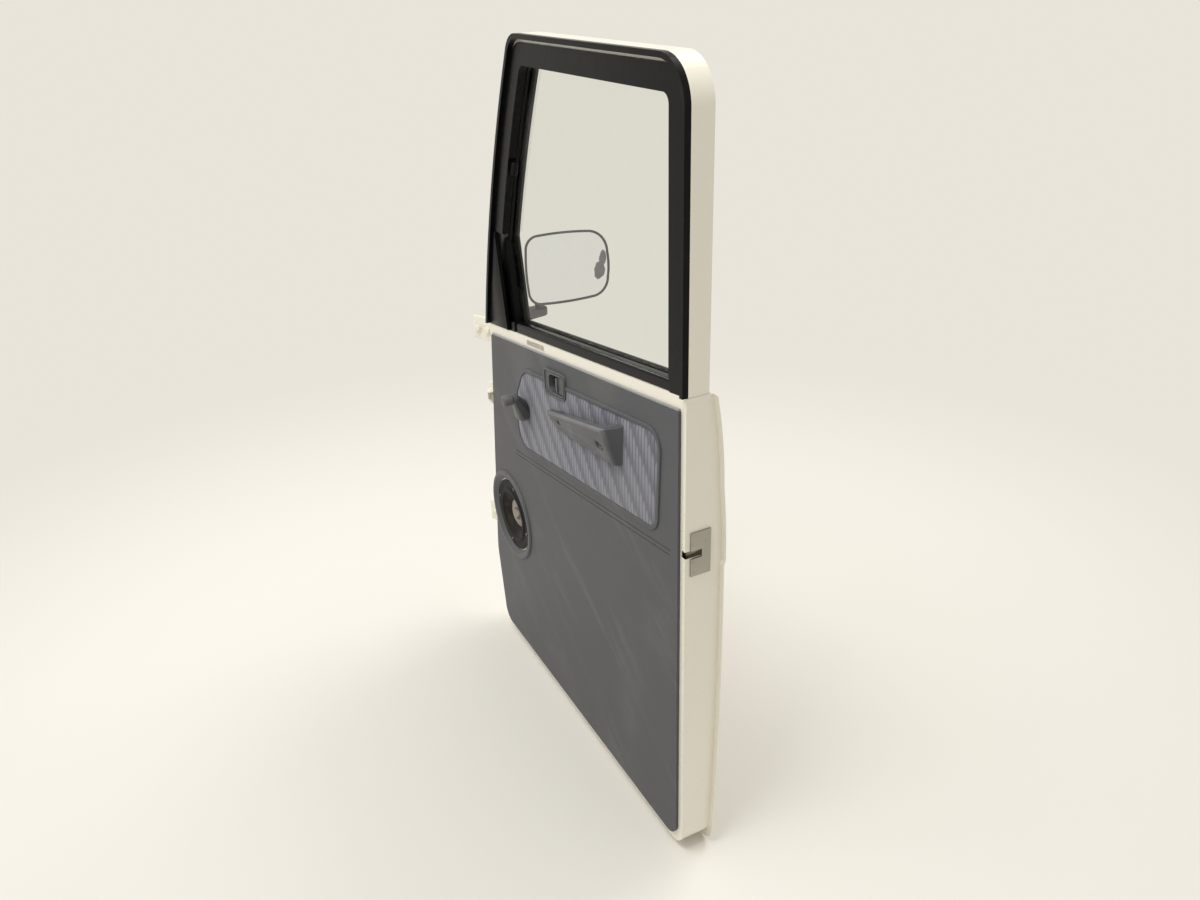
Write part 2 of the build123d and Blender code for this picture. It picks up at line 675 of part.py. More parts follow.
def handle_escutcheon():
    """Plate of the inside handle with its rim, and the cup that takes the fingers."""
    body = side(scoop_region(), -SCOOP_PROUD, TRIM_THICKNESS)
    body += side(scoop_region() - scoop_region(-SCOOP_RIM), -SCOOP_RIM_PROUD, -SCOOP_PROUD)
    body += side(cup_region(CUP_LIP), -SCOOP_RIM_PROUD, -SCOOP_PROUD)
    body += side(cup_region(SHEET), TRIM_THICKNESS, CUP_DEPTH + SHEET)
    return body - side(cup_region(), -20, CUP_DEPTH)


def handle_lever():
    """Paddle of the inside handle with a thicker edge, hinged at the cup's rear end."""
    rear = CUP_REAR_X - SEAT_GAP
    front = rear - LEVER_LENGTH
    half = CUP_HEIGHT / 2 - 2
    centre = SCOOP_Z - BELT_SLOPE * SCOOP_X
    face = outline([
        (front, belt(front, centre - half)), (rear, belt(rear, centre - half)),
        (rear, belt(rear, centre + half)), (front, belt(front, centre + half)),
    ], [6, 3, 3, 6])
    edge = face & below_height(BEYOND_HIGH, front + 5)
    paddle = side(face, -LEVER_PROUD, TRIM_THICKNESS)
    return paddle + side(edge, -LEVER_EDGE_PROUD, -LEVER_PROUD)


def arm_top(x):
    """Height of the armrest's top along the door."""
    share = (x - ARM_FRONT_X) / (ARM_RIDGE_X - ARM_FRONT_X)
    return ARM_TOP_FRONT_Z + (ARM_TOP_REAR_Z - ARM_TOP_FRONT_Z) * share


def arm_proud(x):
    """How far the armrest's ridge stands out along the door."""
    share = (x - ARM_FRONT_X) / (ARM_RIDGE_X - ARM_FRONT_X)
    return ARM_FRONT_PROUD + (ARM_PROUD - ARM_FRONT_PROUD) * share


def in_front_of(at, along, down):
    """Block on the cab's side of the plane through a point that holds two directions."""
    along, down = Vector(*along), Vector(*down)
    plane = Plane(origin=at, x_dir=along, z_dir=down.cross(along))
    return extrude(plane * Rectangle(BEYOND_REAR, BEYOND_REAR), amount=-BEYOND_FRONT)


def armrest_form():
    """Armrest without its slot: a wedge with a leaning face and a broad rear end, rounded."""
    end = ARM_REAR_X + ARM_PROUD
    low_z = ARM_LOW_Z + BELT_SLOPE * (end - ARM_LOW_X)
    view = plain([
        (ARM_FRONT_X, ARM_TOP_FRONT_Z), (end, arm_top(end)), (end, low_z), (ARM_LOW_X, ARM_LOW_Z),
        (ARM_FRONT_X + 6, ARM_LOW_Z + 8),
    ])
    body = side(view, -2 * ARM_PROUD, -INSERT_PROUD)
    lean = radians(ARM_FACE_LEAN)
    ridge = (ARM_RIDGE_X, -ARM_PROUD, ARM_TOP_REAR_Z)
    along = (ARM_RIDGE_X - ARM_FRONT_X, ARM_FRONT_PROUD - ARM_PROUD, ARM_TOP_REAR_Z - ARM_TOP_FRONT_Z)
    body -= in_front_of(ridge, along, (0, sin(lean), -cos(lean)))
    body -= in_front_of(ridge, (ARM_REAR_X - ARM_RIDGE_X, ARM_PROUD, 0), (-5, 0, -70))
    crease = body.edges().filter_by(
        lambda e: abs(e.tangent_at(0.5).Z) > 0.8 and e.center().Y < -12 and e.center().X > ARM_LOW_X)
    body = fillet(crease, ARM_CREASE)
    top = body.edges().filter_by(
        lambda e: e.center().Y < -8 and e.center().Z > arm_top(e.center().X) - 6
        and abs(e.tangent_at(0.5).Z) < 0.45)
    body = fillet(top, ARM_RIDGE_ROUND)
    low = body.edges().filter_by(
        lambda e: e.center().Y < -2.5 and e.center().Z < arm_top(e.center().X) - 6
        and not (abs(e.tangent_at(0.5).Z) > 0.8 and e.center().X > ARM_LOW_X))
    return fillet(low, ARM_LOW_ROUND)


def armrest():
    """Pull handle that grows out of the trim towards the rear, open behind for the fingers."""
    body = armrest_form()
    lean = tan(radians(ARM_FACE_LEAN))
    sections = []
    spans = ((SLOT_FRONT_X, SLOT_FRONT_DEPTH), (SLOT_MIDDLE_X, SLOT_MIDDLE_DEPTH), (SLOT_REAR_X, SLOT_DEPTH))
    for x, depth in spans:
        top, out = arm_top(x), SLOT_WALL - arm_proud(x)
        sections.append(facing_rear(plain([
            (1, top + 12), (out, top + 12), (out + 2 * lean, top - 2),
            (min(out + lean * depth, -2.5), top - depth), (1, top - depth),
        ]), x))
    body -= loft(sections, ruled=True)
    for x, z, length, height in ARM_DIMPLES:
        out = arm_proud(x) - lean * (arm_top(x) - z)
        face = Pos(x, z) * Rot(0, 0, degrees(atan2(BELT_SLOPE, 1))) * SlotOverall(length, height)
        body -= side(Sketch() + face, -2 * ARM_PROUD, DIMPLE_DEPTH - out)
    return body


def crank_knob_centre():
    """Where the crank's knob stands in the side view."""
    turn = radians(CRANK_ANGLE)
    return CRANK_X + CRANK_LENGTH * cos(turn), CRANK_Z + CRANK_LENGTH * sin(turn)


def window_crank():
    """Domed boss on the insert with an arm that leans out to the knob."""
    base, boss_top = -INSERT_PROUD, -INSERT_PROUD - CRANK_BOSS_HEIGHT
    radius = CRANK_BOSS_RADIUS
    boss = turned(make_face([
        Polyline((0, boss_top), (0, base), (radius, base), (radius, base - 3)),
        ThreePointArc((radius, base - 3), (radius - 3, boss_top + 5), (radius - 8, boss_top)),
        Line((radius - 8, boss_top), (0, boss_top)),
    ]), CRANK_X, CRANK_Z)
    near, far = CRANK_ARM_RADII
    out, thick = boss_top - CRANK_RISE, CRANK_ARM_THICKNESS
    turn = radians(CRANK_ANGLE)
    plane = Plane(origin=(CRANK_X, 0, CRANK_Z), x_dir=(cos(turn), 0, sin(turn)), z_dir=(-sin(turn), 0, cos(turn)))
    profile = plain([
        (-near, boss_top), (-near, boss_top + thick), (near, boss_top + 1.6 * thick),
        (CRANK_LENGTH - far, out + thick), (CRANK_LENGTH + far, out + thick), (CRANK_LENGTH + far, out),
        (CRANK_LENGTH - far, out), (0, boss_top - 1),
    ])
    arm = extrude(plane * profile, amount=near, both=True)
    plan = Sketch() + make_hull([*Circle(near).edges(), *(Pos(CRANK_LENGTH, 0) * Circle(far)).edges()])
    arm &= side(Pos(CRANK_X, CRANK_Z) * Rot(0, 0, CRANK_ANGLE) * plan, -100, 0)
    return boss + arm


def crank_knob():
    """Turned knob on the end of the crank's arm."""
    knob_x, knob_z = crank_knob_centre()
    base = -INSERT_PROUD - CRANK_BOSS_HEIGHT - CRANK_RISE
    end = base - KNOB_LENGTH
    profile = make_face([
        Polyline((0, end), (0, base), (KNOB_RADIUS - 3, base), (KNOB_RADIUS - 3, base - 2),
                 (KNOB_RADIUS - 0.8, base - 3), (KNOB_RADIUS, end + 4)),
        ThreePointArc((KNOB_RADIUS, end + 4), (KNOB_RADIUS - 1.2, end + 1.2), (KNOB_RADIUS - 4, end)),
        Line((KNOB_RADIUS - 4, end), (0, end)),
    ])
    return turned(profile, knob_x, knob_z)


# Hinges and check link

def panel_face_x(z):
    """Door's front wall at a height."""
    return front_edge(z, PANEL_MARGIN)


def upright(x, y, low, high, radius):
    """Vertical round bar between two heights."""
    return Pos(x, y, (low + high) / 2) * Cylinder(radius, high - low)


def hinge_door_leaf(z):
    """Leaf on the door's front wall with an arm out to its knuckle."""
    wall = panel_face_x(z)
    knuckle = upright(PIN_X, PIN_Y, z - KNUCKLE_HALF, z + KNUCKLE_HALF, KNUCKLE_RADIUS)
    arm = Pos((PIN_X + wall) / 2, PIN_Y, z) * Box(wall - PIN_X, 10, 2 * KNUCKLE_HALF)
    tilt = degrees(atan2(TRIM_CORNER_LEAN, 1))
    width = DOOR_LEAF_OUT - DOOR_LEAF_IN
    plate_y = PIN_Y + (DOOR_LEAF_OUT + DOOR_LEAF_IN) / 2
    plate = Pos(wall, plate_y, z) * Rot(0, tilt, 0) * Pos(-LEAF_THICKNESS / 2, 0, 0) * Box(
        LEAF_THICKNESS, width, 2 * LEAF_HALF_HEIGHT)
    front_of_wall = side(plain([
        (front_edge(z - 60, PANEL_MARGIN), z - 60), (front_edge(z + 60, PANEL_MARGIN), z + 60),
        (PIN_X - 40, z + 60), (PIN_X - 40, z - 60),
    ]), -50, 120)
    leaf = (knuckle + arm + plate) & front_of_wall
    return leaf - upright(PIN_X, PIN_Y, z - 40, z + 40, PIN_RADIUS + PIN_CLEARANCE)


def hinge_pillar_leaf():
    """Leaf on the pillar with two ears round the pin, drawn about the pin."""
    width = PILLAR_LEAF_FAR - PILLAR_LEAF_NEAR
    middle = -(PILLAR_LEAF_FAR + PILLAR_LEAF_NEAR) / 2
    leaf = Pos(JAMB_X + LEAF_THICKNESS / 2, middle, 0) * Box(LEAF_THICKNESS, width, 2 * LEAF_HALF_HEIGHT)
    base = KNUCKLE_HALF + EAR_GAP
    for low, high in ((base, base + EAR_HEIGHT), (-base - EAR_HEIGHT, -base)):
        leaf += upright(0, 0, low, high, KNUCKLE_RADIUS)
        web = extrude(Plane.XY.offset(low) * plain([
            (JAMB_X, -PILLAR_LEAF_NEAR - 4), (JAMB_X, 0), (0, KNUCKLE_RADIUS),
            (KNUCKLE_RADIUS, 0), (0, -KNUCKLE_RADIUS), (JAMB_X + LEAF_THICKNESS, -PILLAR_LEAF_NEAR - 4),
        ]), amount=EAR_HEIGHT)
        leaf += web
        leaf -= upright(0, 0, low - 1, high + 1, PIN_RADIUS)
    for reach in PILLAR_HOLES:
        leaf -= Pos(JAMB_X, -reach, 0) * Rot(0, 90, 0) * Cylinder(BOLT_HOLE_RADIUS, 4 * LEAF_THICKNESS)
    return leaf


def hinge_pin():
    """Pin with a head, pressed in the pillar leaf's ears, drawn about its own axis."""
    reach = KNUCKLE_HALF + EAR_GAP + EAR_HEIGHT
    return upright(0, 0, -reach - 2, reach, PIN_RADIUS) + upright(0, 0, reach, reach + 4, KNUCKLE_RADIUS - 1)


def check_bracket():
    """Clevis on the pillar that holds the check strap's end, drawn about the hinge pin."""
    half = STRAP_HEIGHT / 2 + 0.5
    tall = 2 * (CHECK_HOLE_HEIGHT + CHECK_HOLE_EDGE)
    base = Pos(JAMB_X + CLEVIS_PLATE / 2, CHECK_PIVOT_Y, 0) * Box(CLEVIS_PLATE, 24, tall)
    for low in (half, -half - CLEVIS_PLATE):
        length = CHECK_PIVOT_X - JAMB_X
        ear = Pos(JAMB_X + length / 2, CHECK_PIVOT_Y, low + CLEVIS_PLATE / 2) * Box(length, 16, CLEVIS_PLATE)
        base += ear + upright(CHECK_PIVOT_X, CHECK_PIVOT_Y, low, low + CLEVIS_PLATE, 8)
    base += upright(CHECK_PIVOT_X, CHECK_PIVOT_Y, -half - CLEVIS_PLATE - 3, half + CLEVIS_PLATE + 3,
                    CHECK_PIN_RADIUS)
    for height in (-CHECK_HOLE_HEIGHT, CHECK_HOLE_HEIGHT):
        base -= Pos(JAMB_X, CHECK_PIVOT_Y, height) * Rot(0, 90, 0) * Cylinder(
            CHECK_HOLE_RADIUS, 4 * CLEVIS_PLATE)
    return base


def check_hole():
    """Place of the strap's hole in the door's front wall, in the door's frame."""
    return panel_face_x(CHECK_Z), PIN_Y + CHECK_HOLE_Y


def check_pivot():
    """Place of the strap's pivot in the door's frame, with the door as it stands open."""
    turn = radians(-OPEN_ANGLE)
    return (
        PIN_X + CHECK_PIVOT_X * cos(turn) - CHECK_PIVOT_Y * sin(turn),
        PIN_Y + CHECK_PIVOT_X * sin(turn) + CHECK_PIVOT_Y * cos(turn),
    )


def check_strap():
    """Flat link from the clevis through the door's front wall, with a stop at its end."""
    pivot_x, pivot_y = check_pivot()
    hole_x, hole_y = check_hole()
    heading = degrees(atan2(hole_y - pivot_y, hole_x - pivot_x))
    bar = Pos(STRAP_LENGTH / 2, 0, 0) * Box(STRAP_LENGTH, STRAP_THICKNESS, STRAP_HEIGHT)
    eye = Cylinder(STRAP_THICKNESS + 1, STRAP_HEIGHT)
    stop = Pos(STRAP_LENGTH, 0, 0) * Box(6, STRAP_THICKNESS + 6, STRAP_HEIGHT + 4)
    strap = bar + eye + stop - Cylinder(CHECK_PIN_RADIUS + PIN_CLEARANCE, 2 * STRAP_HEIGHT)
    return Pos(pivot_x, pivot_y, CHECK_Z) * Rot(0, 0, heading) * strap


def check_box():
    """Box inside the door's front wall that grips the strap, open wide enough for its swing."""
    wall_x, wall_y = check_hole()
    height = STRAP_HEIGHT + 4 * CHECK_CLEARANCE
    width = STRAP_THICKNESS + 5 * CHECK_CLEARANCE
    x = wall_x + SHEET + 4 + CHECK_BOX_DEPTH / 2
    box = Pos(x, wall_y, CHECK_Z) * Box(CHECK_BOX_DEPTH, width, height)
    box += Pos(x - CHECK_BOX_DEPTH / 2 - 0.5, wall_y, CHECK_Z) * Box(3, width, height)
    hole = Pos(x, wall_y, CHECK_Z) * Box(
        3 * CHECK_BOX_DEPTH, STRAP_THICKNESS + 3 * CHECK_CLEARANCE, STRAP_HEIGHT + 2 * SEAT_GAP)
    reach = side(plain([
        (front_edge(CHECK_Z - 40, PANEL_MARGIN - SHEET), CHECK_Z - 40),
        (front_edge(CHECK_Z + 40, PANEL_MARGIN - SHEET), CHECK_Z + 40),
        (wall_x + 60, CHECK_Z + 40), (wall_x + 60, CHECK_Z - 40),
    ]), -50, 120)
    skirt = Pos(wall_x + 3, wall_y, CHECK_Z) * Box(12, width, height)
    return ((box + skirt) & reach) - hole


# Latch edge

def striker_slot(end_y):
    """Space that the pillar's striker slides into, open towards the cab."""
    low_x, high_x = TRIM_REAR + 2, TRIM_REAR + PANEL_MARGIN + 10
    return Pos((low_x + high_x) / 2, end_y / 2 - 5, LATCH_Z) * Box(high_x - low_x, end_y + 10, LATCH_SLOT)


def latch():
    """Latch case inside the rear wall, with its plate outside and the striker's slot."""
    rear = TRIM_REAR + PANEL_MARGIN
    y = PIN_Y - 14
    plate = Pos(rear + 1.5, y, LATCH_Z) * Box(3, 36, LATCH_HEIGHT)
    case = Pos(rear - SHEET - LATCH_DEPTH / 2, y, LATCH_Z) * Box(LATCH_DEPTH, 36, LATCH_HEIGHT - 8)
    neck = Pos(rear - 1, LATCH_SLOT_END + LATCH_NECK / 2, LATCH_Z) * Box(6, LATCH_NECK, LATCH_SLOT - 1)
    return plate + case + neck - striker_slot(LATCH_SLOT_END)


def handle_region(grow=0.0):
    """Outline of the outside handle's housing."""
    half_length, half_height = OUTER_HANDLE_LENGTH / 2 + grow, OUTER_HANDLE_HEIGHT / 2 + grow
    rise = BELT_SLOPE * half_length
    points = [
        (OUTER_HANDLE_X - half_length, OUTER_HANDLE_Z - rise - half_height),
        (OUTER_HANDLE_X + half_length, OUTER_HANDLE_Z + rise - half_height),
        (OUTER_HANDLE_X + half_length, OUTER_HANDLE_Z + rise + half_height),
        (OUTER_HANDLE_X - half_length, OUTER_HANDLE_Z - rise + half_height),
    ]
    return outline(points, [10 + grow] * 4)


def handle_housing():
    """Cup of the outside handle, set in the skin."""
    body = side(handle_region(), 38, 100) & along_door(skin_section(1.5, -26))
    return body - side(handle_region(-4), 42, 120)


def handle_flap():
    """Flap that the hand pulls, in the housing's mouth."""
    face = handle_region(-4 - SEAT_GAP) & below_belt(OUTER_HANDLE_Z - BELT_SLOPE * OUTER_HANDLE_X + 20)
    face &= above_belt(OUTER_HANDLE_Z - BELT_SLOPE * OUTER_HANDLE_X + 2)
    return side(face, 42, 120) & along_door(skin_section(3, -6))


def lock_height():
    """Height of the key's cylinder."""
    return belt(LOCK_X, OUTER_HANDLE_Z - BELT_SLOPE * OUTER_HANDLE_X - LOCK_DROP)


def lock_cylinder():
    """Key's cylinder, flush with the skin."""
    face = disc(LOCK_X, lock_height(), LOCK_RADIUS)
    body = side(face, 34, 120) & along_door(skin_section(1.5, -30))
    return body - side(plain([(LOCK_X - 1, lock_height() - 5), (LOCK_X + 1, lock_height() - 5),
                              (LOCK_X + 1, lock_height() + 5), (LOCK_X - 1, lock_height() + 5)]), 62, 120)


# Mirror

def mirror_foot_top():
    """Height of the face that the mirror turns on."""
    return MIRROR_LOW_Z - FOOT_GAP


def mirror_base():
    """Plate outside the frame's foot with the arm that the mirror turns on."""
    low_z, high_z = belt(DIVISION_FOOT_X), DIVISION_TOP + 8
    region = frame_region(6) & above_belt(BELT_RAIL_TOP + SEAT_GAP) & plain([
        (BEYOND_FRONT, low_z), (division_x(low_z, DIVISION_WIDTH + BASE_REACH_LOW), low_z),
        (division_x(high_z, DIVISION_WIDTH + BASE_REACH_TOP), high_z), (BEYOND_FRONT, high_z),
    ])
    plate = side(region, FRAME_OUTER_Y, FRAME_OUTER_Y + MIRROR_BASE_PROUD)
    low = mirror_foot_top() - FOOT_THICKNESS
    front_x, rear_x = MIRROR_PIVOT_X - FOOT_RADIUS, MIRROR_PIVOT_X + FOOT_RADIUS
    root_y = FRAME_OUTER_Y + 4
    foot = plain([
        (front_x, root_y), (rear_x + 6, root_y), (rear_x, MIRROR_PIVOT_Y), (front_x, MIRROR_PIVOT_Y)])
    foot += Pos(MIRROR_PIVOT_X, MIRROR_PIVOT_Y) * Circle(FOOT_RADIUS)
    arm = extrude(Plane.XY.offset(low) * foot, amount=FOOT_THICKNESS)
    pin = upright(MIRROR_PIVOT_X, MIRROR_PIVOT_Y, low, MIRROR_LOW_Z + 16, MIRROR_PIN_RADIUS)
    return plate + arm + pin


def mirror_face(grow=0.0):
    """Outline of the mirror's mouth in Y and Z."""
    low_y, high_y = MIRROR_INNER_Y - grow, MIRROR_INNER_Y + MIRROR_WIDTH + grow
    low_z, high_z = MIRROR_LOW_Z - grow, MIRROR_LOW_Z + MIRROR_HEIGHT + grow
    radii = [MIRROR_INNER_RADIUS, MIRROR_RADIUS + 4, MIRROR_RADIUS, MIRROR_INNER_RADIUS + 8]
    return outline([(low_y, low_z), (high_y, low_z), (high_y, high_z), (low_y, high_z)],
                   [radius + grow for radius in radii])


def facing_rear(face, x):
    """Place a face drawn in Y and Z at a distance along the door."""
    return Plane(origin=(x, 0, 0), x_dir=(0, 1, 0), z_dir=(1, 0, 0)) * face


def mirror_housing():
    """Hollow shell that carries the mirror glass, with the socket it folds on."""
    back = MIRROR_FACE_X - MIRROR_DEPTH
    shells = []
    for wall in (0.0, MIRROR_WALL):
        form = extrude(facing_rear(mirror_face(-wall), back + wall), amount=MIRROR_DEPTH)
        shells.append(fillet(form.faces().sort_by(Axis.X)[0].edges(), MIRROR_BACK_ROUND - wall))
    shell = shells[0] - shells[1]
    socket = upright(MIRROR_PIVOT_X, MIRROR_PIVOT_Y, MIRROR_LOW_Z, MIRROR_LOW_Z + 22, MIRROR_PIN_RADIUS + 5)
    shell += socket
    return shell - upright(MIRROR_PIVOT_X, MIRROR_PIVOT_Y, MIRROR_LOW_Z - 10, MIRROR_LOW_Z + 18,
                           MIRROR_PIN_RADIUS + PIN_CLEARANCE)


def mirror_glass():
    """Silvered glass in the housing's mouth."""
    return extrude(facing_rear(mirror_face(-MIRROR_WALL - SEAT_GAP), MIRROR_FACE_X - 7), amount=4)


def pillar_place(z):
    """Where a piece that is drawn about the hinge pin lies with the door open."""
    return Pos(PIN_X, PIN_Y, z) * Rot(0, 0, -OPEN_ANGLE)


def build():
    """All pieces by name, in the door's own frame."""
    pieces = {
        "outer_skin": outer_skin(),
        "inner_panel": inner_panel(),
        "division_bar": division_bar(),
        "glass_run": glass_run(),
        "frame_seal": frame_seal(),
        "window_glass": window_glass(),
        "belt_strip_inner": belt_strip(FRAME_INNER_Y, GLASS_Y - GLASS_CLEARANCE, BELT_RAIL_TOP),
        "belt_strip_outer": belt_strip(GLASS_Y + GLASS_THICKNESS + GLASS_CLEARANCE, FRAME_OUTER_Y,
                                       BELT_RAIL_TOP),
        "sail_trim": sail_trim(),
        "trim_panel": trim_panel(),
        "belt_bead": belt_bead(),
        "fabric_insert": fabric_insert(),
        "speaker_bezel": speaker_bezel(),
        "speaker": speaker(),
        "speaker_cone": speaker_cone(),
        "speaker_cap": speaker_cap(),
        "handle_escutcheon": handle_escutcheon(),
        "handle_lever": handle_lever(),
        "armrest": armrest(),
        "window_crank": window_crank(),
        "crank_knob": crank_knob(),
        "check_strap": check_strap(),
        "check_box": check_box(),
        "latch": latch(),
        "outside_handle_housing": handle_housing(),
        "outside_handle_flap": handle_flap(),
        "lock_cylinder": lock_cylinder(),
        "mirror_base": mirror_base(),
        "mirror_housing": mirror_housing(),
        "mirror_glass": mirror_glass(),
        "check_bracket": pillar_place(CHECK_Z) * check_bracket(),
    }
    for name, member in frame_nodes().items():
        pieces[f"frame_{name}"] = member
    for name, member in garnish_nodes().items():
        pieces[f"garnish_{name}"] = member
    for name, z in HINGE_HEIGHTS.items():
        pieces[f"hinge_{name}_door_leaf"] = hinge_door_leaf(z)
        pieces[f"hinge_{name}_pillar_leaf"] = pillar_place(z) * hinge_pillar_leaf()
        pieces[f"hinge_{name}_pin"] = pillar_place(z) * hinge_pin()
    return pieces


def origin_shift():
    """Move from the door's frame to the one whose zero is on the upper hinge's pillar face."""
    middle = -(PILLAR_LEAF_FAR + PILLAR_LEAF_NEAR) / 2
    turn = radians(-OPEN_ANGLE)
    x = PIN_X + JAMB_X * cos(turn) - middle * sin(turn)
    y = PIN_Y + JAMB_X * sin(turn) + middle * cos(turn)
    return Pos(-x, -y, -HINGE_HEIGHTS["upper"])


SHIFT = origin_shift()
for node, solid in build().items():
    export_step(SHIFT * solid, f"parts/{node}.step")
print("trim corner at", [round(v, 3) for v in SHIFT.position])
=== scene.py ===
"""Looks of a cab-over van's open front door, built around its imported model.

Metres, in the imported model's frame. Pieces of the door are drawn in millimetres in the door's
own frame, whose zero is the trim's front top corner on the trim's face, and DOOR_PLACE carries
them over when their mesh is finished. Pieces of the pillar are drawn about the hinge pin.
"""

import json
import logging
import math
from collections.abc import Iterable, Sequence
from dataclasses import dataclass, field
from enum import Enum
from functools import cache, cached_property
from typing import NamedTuple, Protocol

import bmesh
import bpy
from mathutils import Euler, Matrix, Vector

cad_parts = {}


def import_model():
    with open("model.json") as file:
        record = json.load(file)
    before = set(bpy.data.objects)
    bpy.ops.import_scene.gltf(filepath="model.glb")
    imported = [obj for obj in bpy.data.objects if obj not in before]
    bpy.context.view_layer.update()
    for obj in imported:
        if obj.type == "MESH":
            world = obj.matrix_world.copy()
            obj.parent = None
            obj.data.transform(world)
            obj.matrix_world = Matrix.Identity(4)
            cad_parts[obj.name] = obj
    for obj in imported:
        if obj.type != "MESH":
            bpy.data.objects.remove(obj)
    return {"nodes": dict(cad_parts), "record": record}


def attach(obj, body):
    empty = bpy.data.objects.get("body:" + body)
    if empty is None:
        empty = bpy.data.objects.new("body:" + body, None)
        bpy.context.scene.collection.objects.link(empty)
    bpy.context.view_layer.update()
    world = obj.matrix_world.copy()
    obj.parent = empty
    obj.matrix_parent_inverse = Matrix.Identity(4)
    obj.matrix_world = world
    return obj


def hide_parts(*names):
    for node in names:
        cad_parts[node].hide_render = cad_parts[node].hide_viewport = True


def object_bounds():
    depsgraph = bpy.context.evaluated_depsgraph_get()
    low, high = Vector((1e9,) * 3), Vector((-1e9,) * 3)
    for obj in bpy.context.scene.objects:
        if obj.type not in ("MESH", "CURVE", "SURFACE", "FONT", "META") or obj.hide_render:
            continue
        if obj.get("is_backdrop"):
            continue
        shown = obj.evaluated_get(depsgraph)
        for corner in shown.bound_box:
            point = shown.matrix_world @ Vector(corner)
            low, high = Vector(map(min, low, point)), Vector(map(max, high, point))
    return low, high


LOG = logging.getLogger("door")

Pair = tuple[float, float]
Point = tuple[float, float, float]
Quad = tuple[float, float, float, float]
Ramp = tuple[float, ...]

MM = 0.001
DOOR_ZERO = Vector((0.147763, -0.041969, 0.040))
DOOR_PLACE = Matrix.Translation(DOOR_ZERO) @ Matrix.Scale(MM, 4)
FACE_CAB = Matrix.Rotation(math.pi / 2, 4, "X")
BELT_SLOPE = 0.15
OPEN_ANGLE = math.radians(64.0)
PIN_AT = Vector((0.044763, 0.004031, 0.0))
LOWER_HINGE_DROP = 0.470
SPEAKER_AT = (36.0, -412.0)
SPEAKER_CENTRE = (DOOR_ZERO.x + SPEAKER_AT[0] * MM, DOOR_ZERO.z + SPEAKER_AT[1] * MM)
MIRROR_PIVOT = (44.0, 92.0)
SAME_PLACE = 0.01
ON_PLANE = 0.0001


class Body(Enum):
    """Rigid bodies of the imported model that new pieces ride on."""

    DOOR = "door"
    PILLAR = "pillar"
    MIRROR = "mirror"


class Slot(Enum):
    """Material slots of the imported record."""

    PAINT = "paint_cream"
    VINYL = "trim_vinyl"
    MOULDED = "moulded_grey"
    BEZEL = "bezel_grey"
    BEAD = "bead_grey"
    CLOTH = "insert_cloth"
    CONE = "speaker_black"
    CAP = "cap_beige"
    GARNISH = "garnish_black"
    RUBBER = "rubber_black"
    GLASS = "window_glass"
    SILVER = "mirror_silver"
    MIRROR_BLACK = "mirror_black"
    STEEL = "zinc_steel"


class Dimple(NamedTuple):
    """Screw dimple of the armrest: its middle, reach, floor and the screw's radius."""

    x: float
    z: float
    reach: float
    floor_y: float
    screw: float


DIMPLES = (Dimple(515.0, -29.0, 17.0, -17.8, 5.4), Dimple(337.0, -62.0, 10.0, -7.4, 3.8))


def linear(code: str) -> Quad:
    """Linear red, green, blue and opacity of a screen colour's hexadecimal code."""
    parts = [int(code[i : i + 2], 16) / 255 for i in (1, 3, 5)]
    red, green, blue = (
        part / 12.92 if part <= 0.04045 else ((part + 0.055) / 1.055) ** 2.4 for part in parts
    )
    return red, green, blue, 1.0


# Shader maths


class Wire:
    """A node's output, on which Python's operators add Math nodes."""

    def __init__(self, bench: "Bench", socket: bpy.types.NodeSocket | None) -> None:
        """Keep the socket and the tree that it belongs to."""
        self.bench = bench
        self.socket = socket

    def _maths(self, operation: str, *operands: "Wire | float") -> "Wire":
        """Add a Math node on the given operands."""
        return self.bench.add("ShaderNodeMath", {"operation": operation}, dict(enumerate(operands)))

    def __add__(self, other: "Wire | float") -> "Wire":
        """Sum."""
        return self._maths("ADD", self, other)

    def __sub__(self, other: "Wire | float") -> "Wire":
        """Difference."""
        return self._maths("SUBTRACT", self, other)

    def __rsub__(self, other: float) -> "Wire":
        """Difference from a number."""
        return self._maths("SUBTRACT", other, self)

    def __mul__(self, other: "Wire | float") -> "Wire":
        """Product."""
        return self._maths("MULTIPLY", self, other)

    def __truediv__(self, other: "Wire | float") -> "Wire":
        """Quotient."""
        return self._maths("DIVIDE", self, other)

    def __pow__(self, other: float) -> "Wire":
        """Power."""
        return self._maths("POWER", self, other)

    def __abs__(self) -> "Wire":
        """Size without sign."""
        return self._maths("ABSOLUTE", self)

    def __floor__(self) -> "Wire":
        """Whole part."""
        return self._maths("FLOOR", self)

    __radd__ = __add__
    __rmul__ = __mul__

    def part(self) -> "Wire":
        """Fraction above the whole part."""
        return self._maths("FRACT", self)

    def wave(self, period: float) -> "Wire":
        """Wave between 0 and 1 that repeats after a period."""
        return self._maths("SINE", self * (2 * math.pi / period)) * 0.5 + 0.5

    def least(self, other: "Wire | float") -> "Wire":
        """Smaller of two values."""
        return self._maths("MINIMUM", self, other)

    def most(self, other: "Wire | float") -> "Wire":
        """Larger of two values."""
        return self._maths("MAXIMUM", self, other)

    def blend(self, other: "Wire", share: float) -> "Wire":
        """Let another value take a share of this one's place."""
        return self * (1 - share) + other * share

    def rise(self, start: float, end: float, share: float = 1.0) -> "Wire":
        """Ramp smoothly from 0 at one value to a share at another, which may be the lower one."""
        sockets = {0: self, 1: start, 2: end, 4: share}
        return self.bench.add(
            "ShaderNodeMapRange", {"interpolation_type": "SMOOTHSTEP"}, sockets
        )


def length(first: Wire, second: Wire) -> Wire:
    """Length of a vector with these two parts."""
    return (first**2 + second**2) ** 0.5


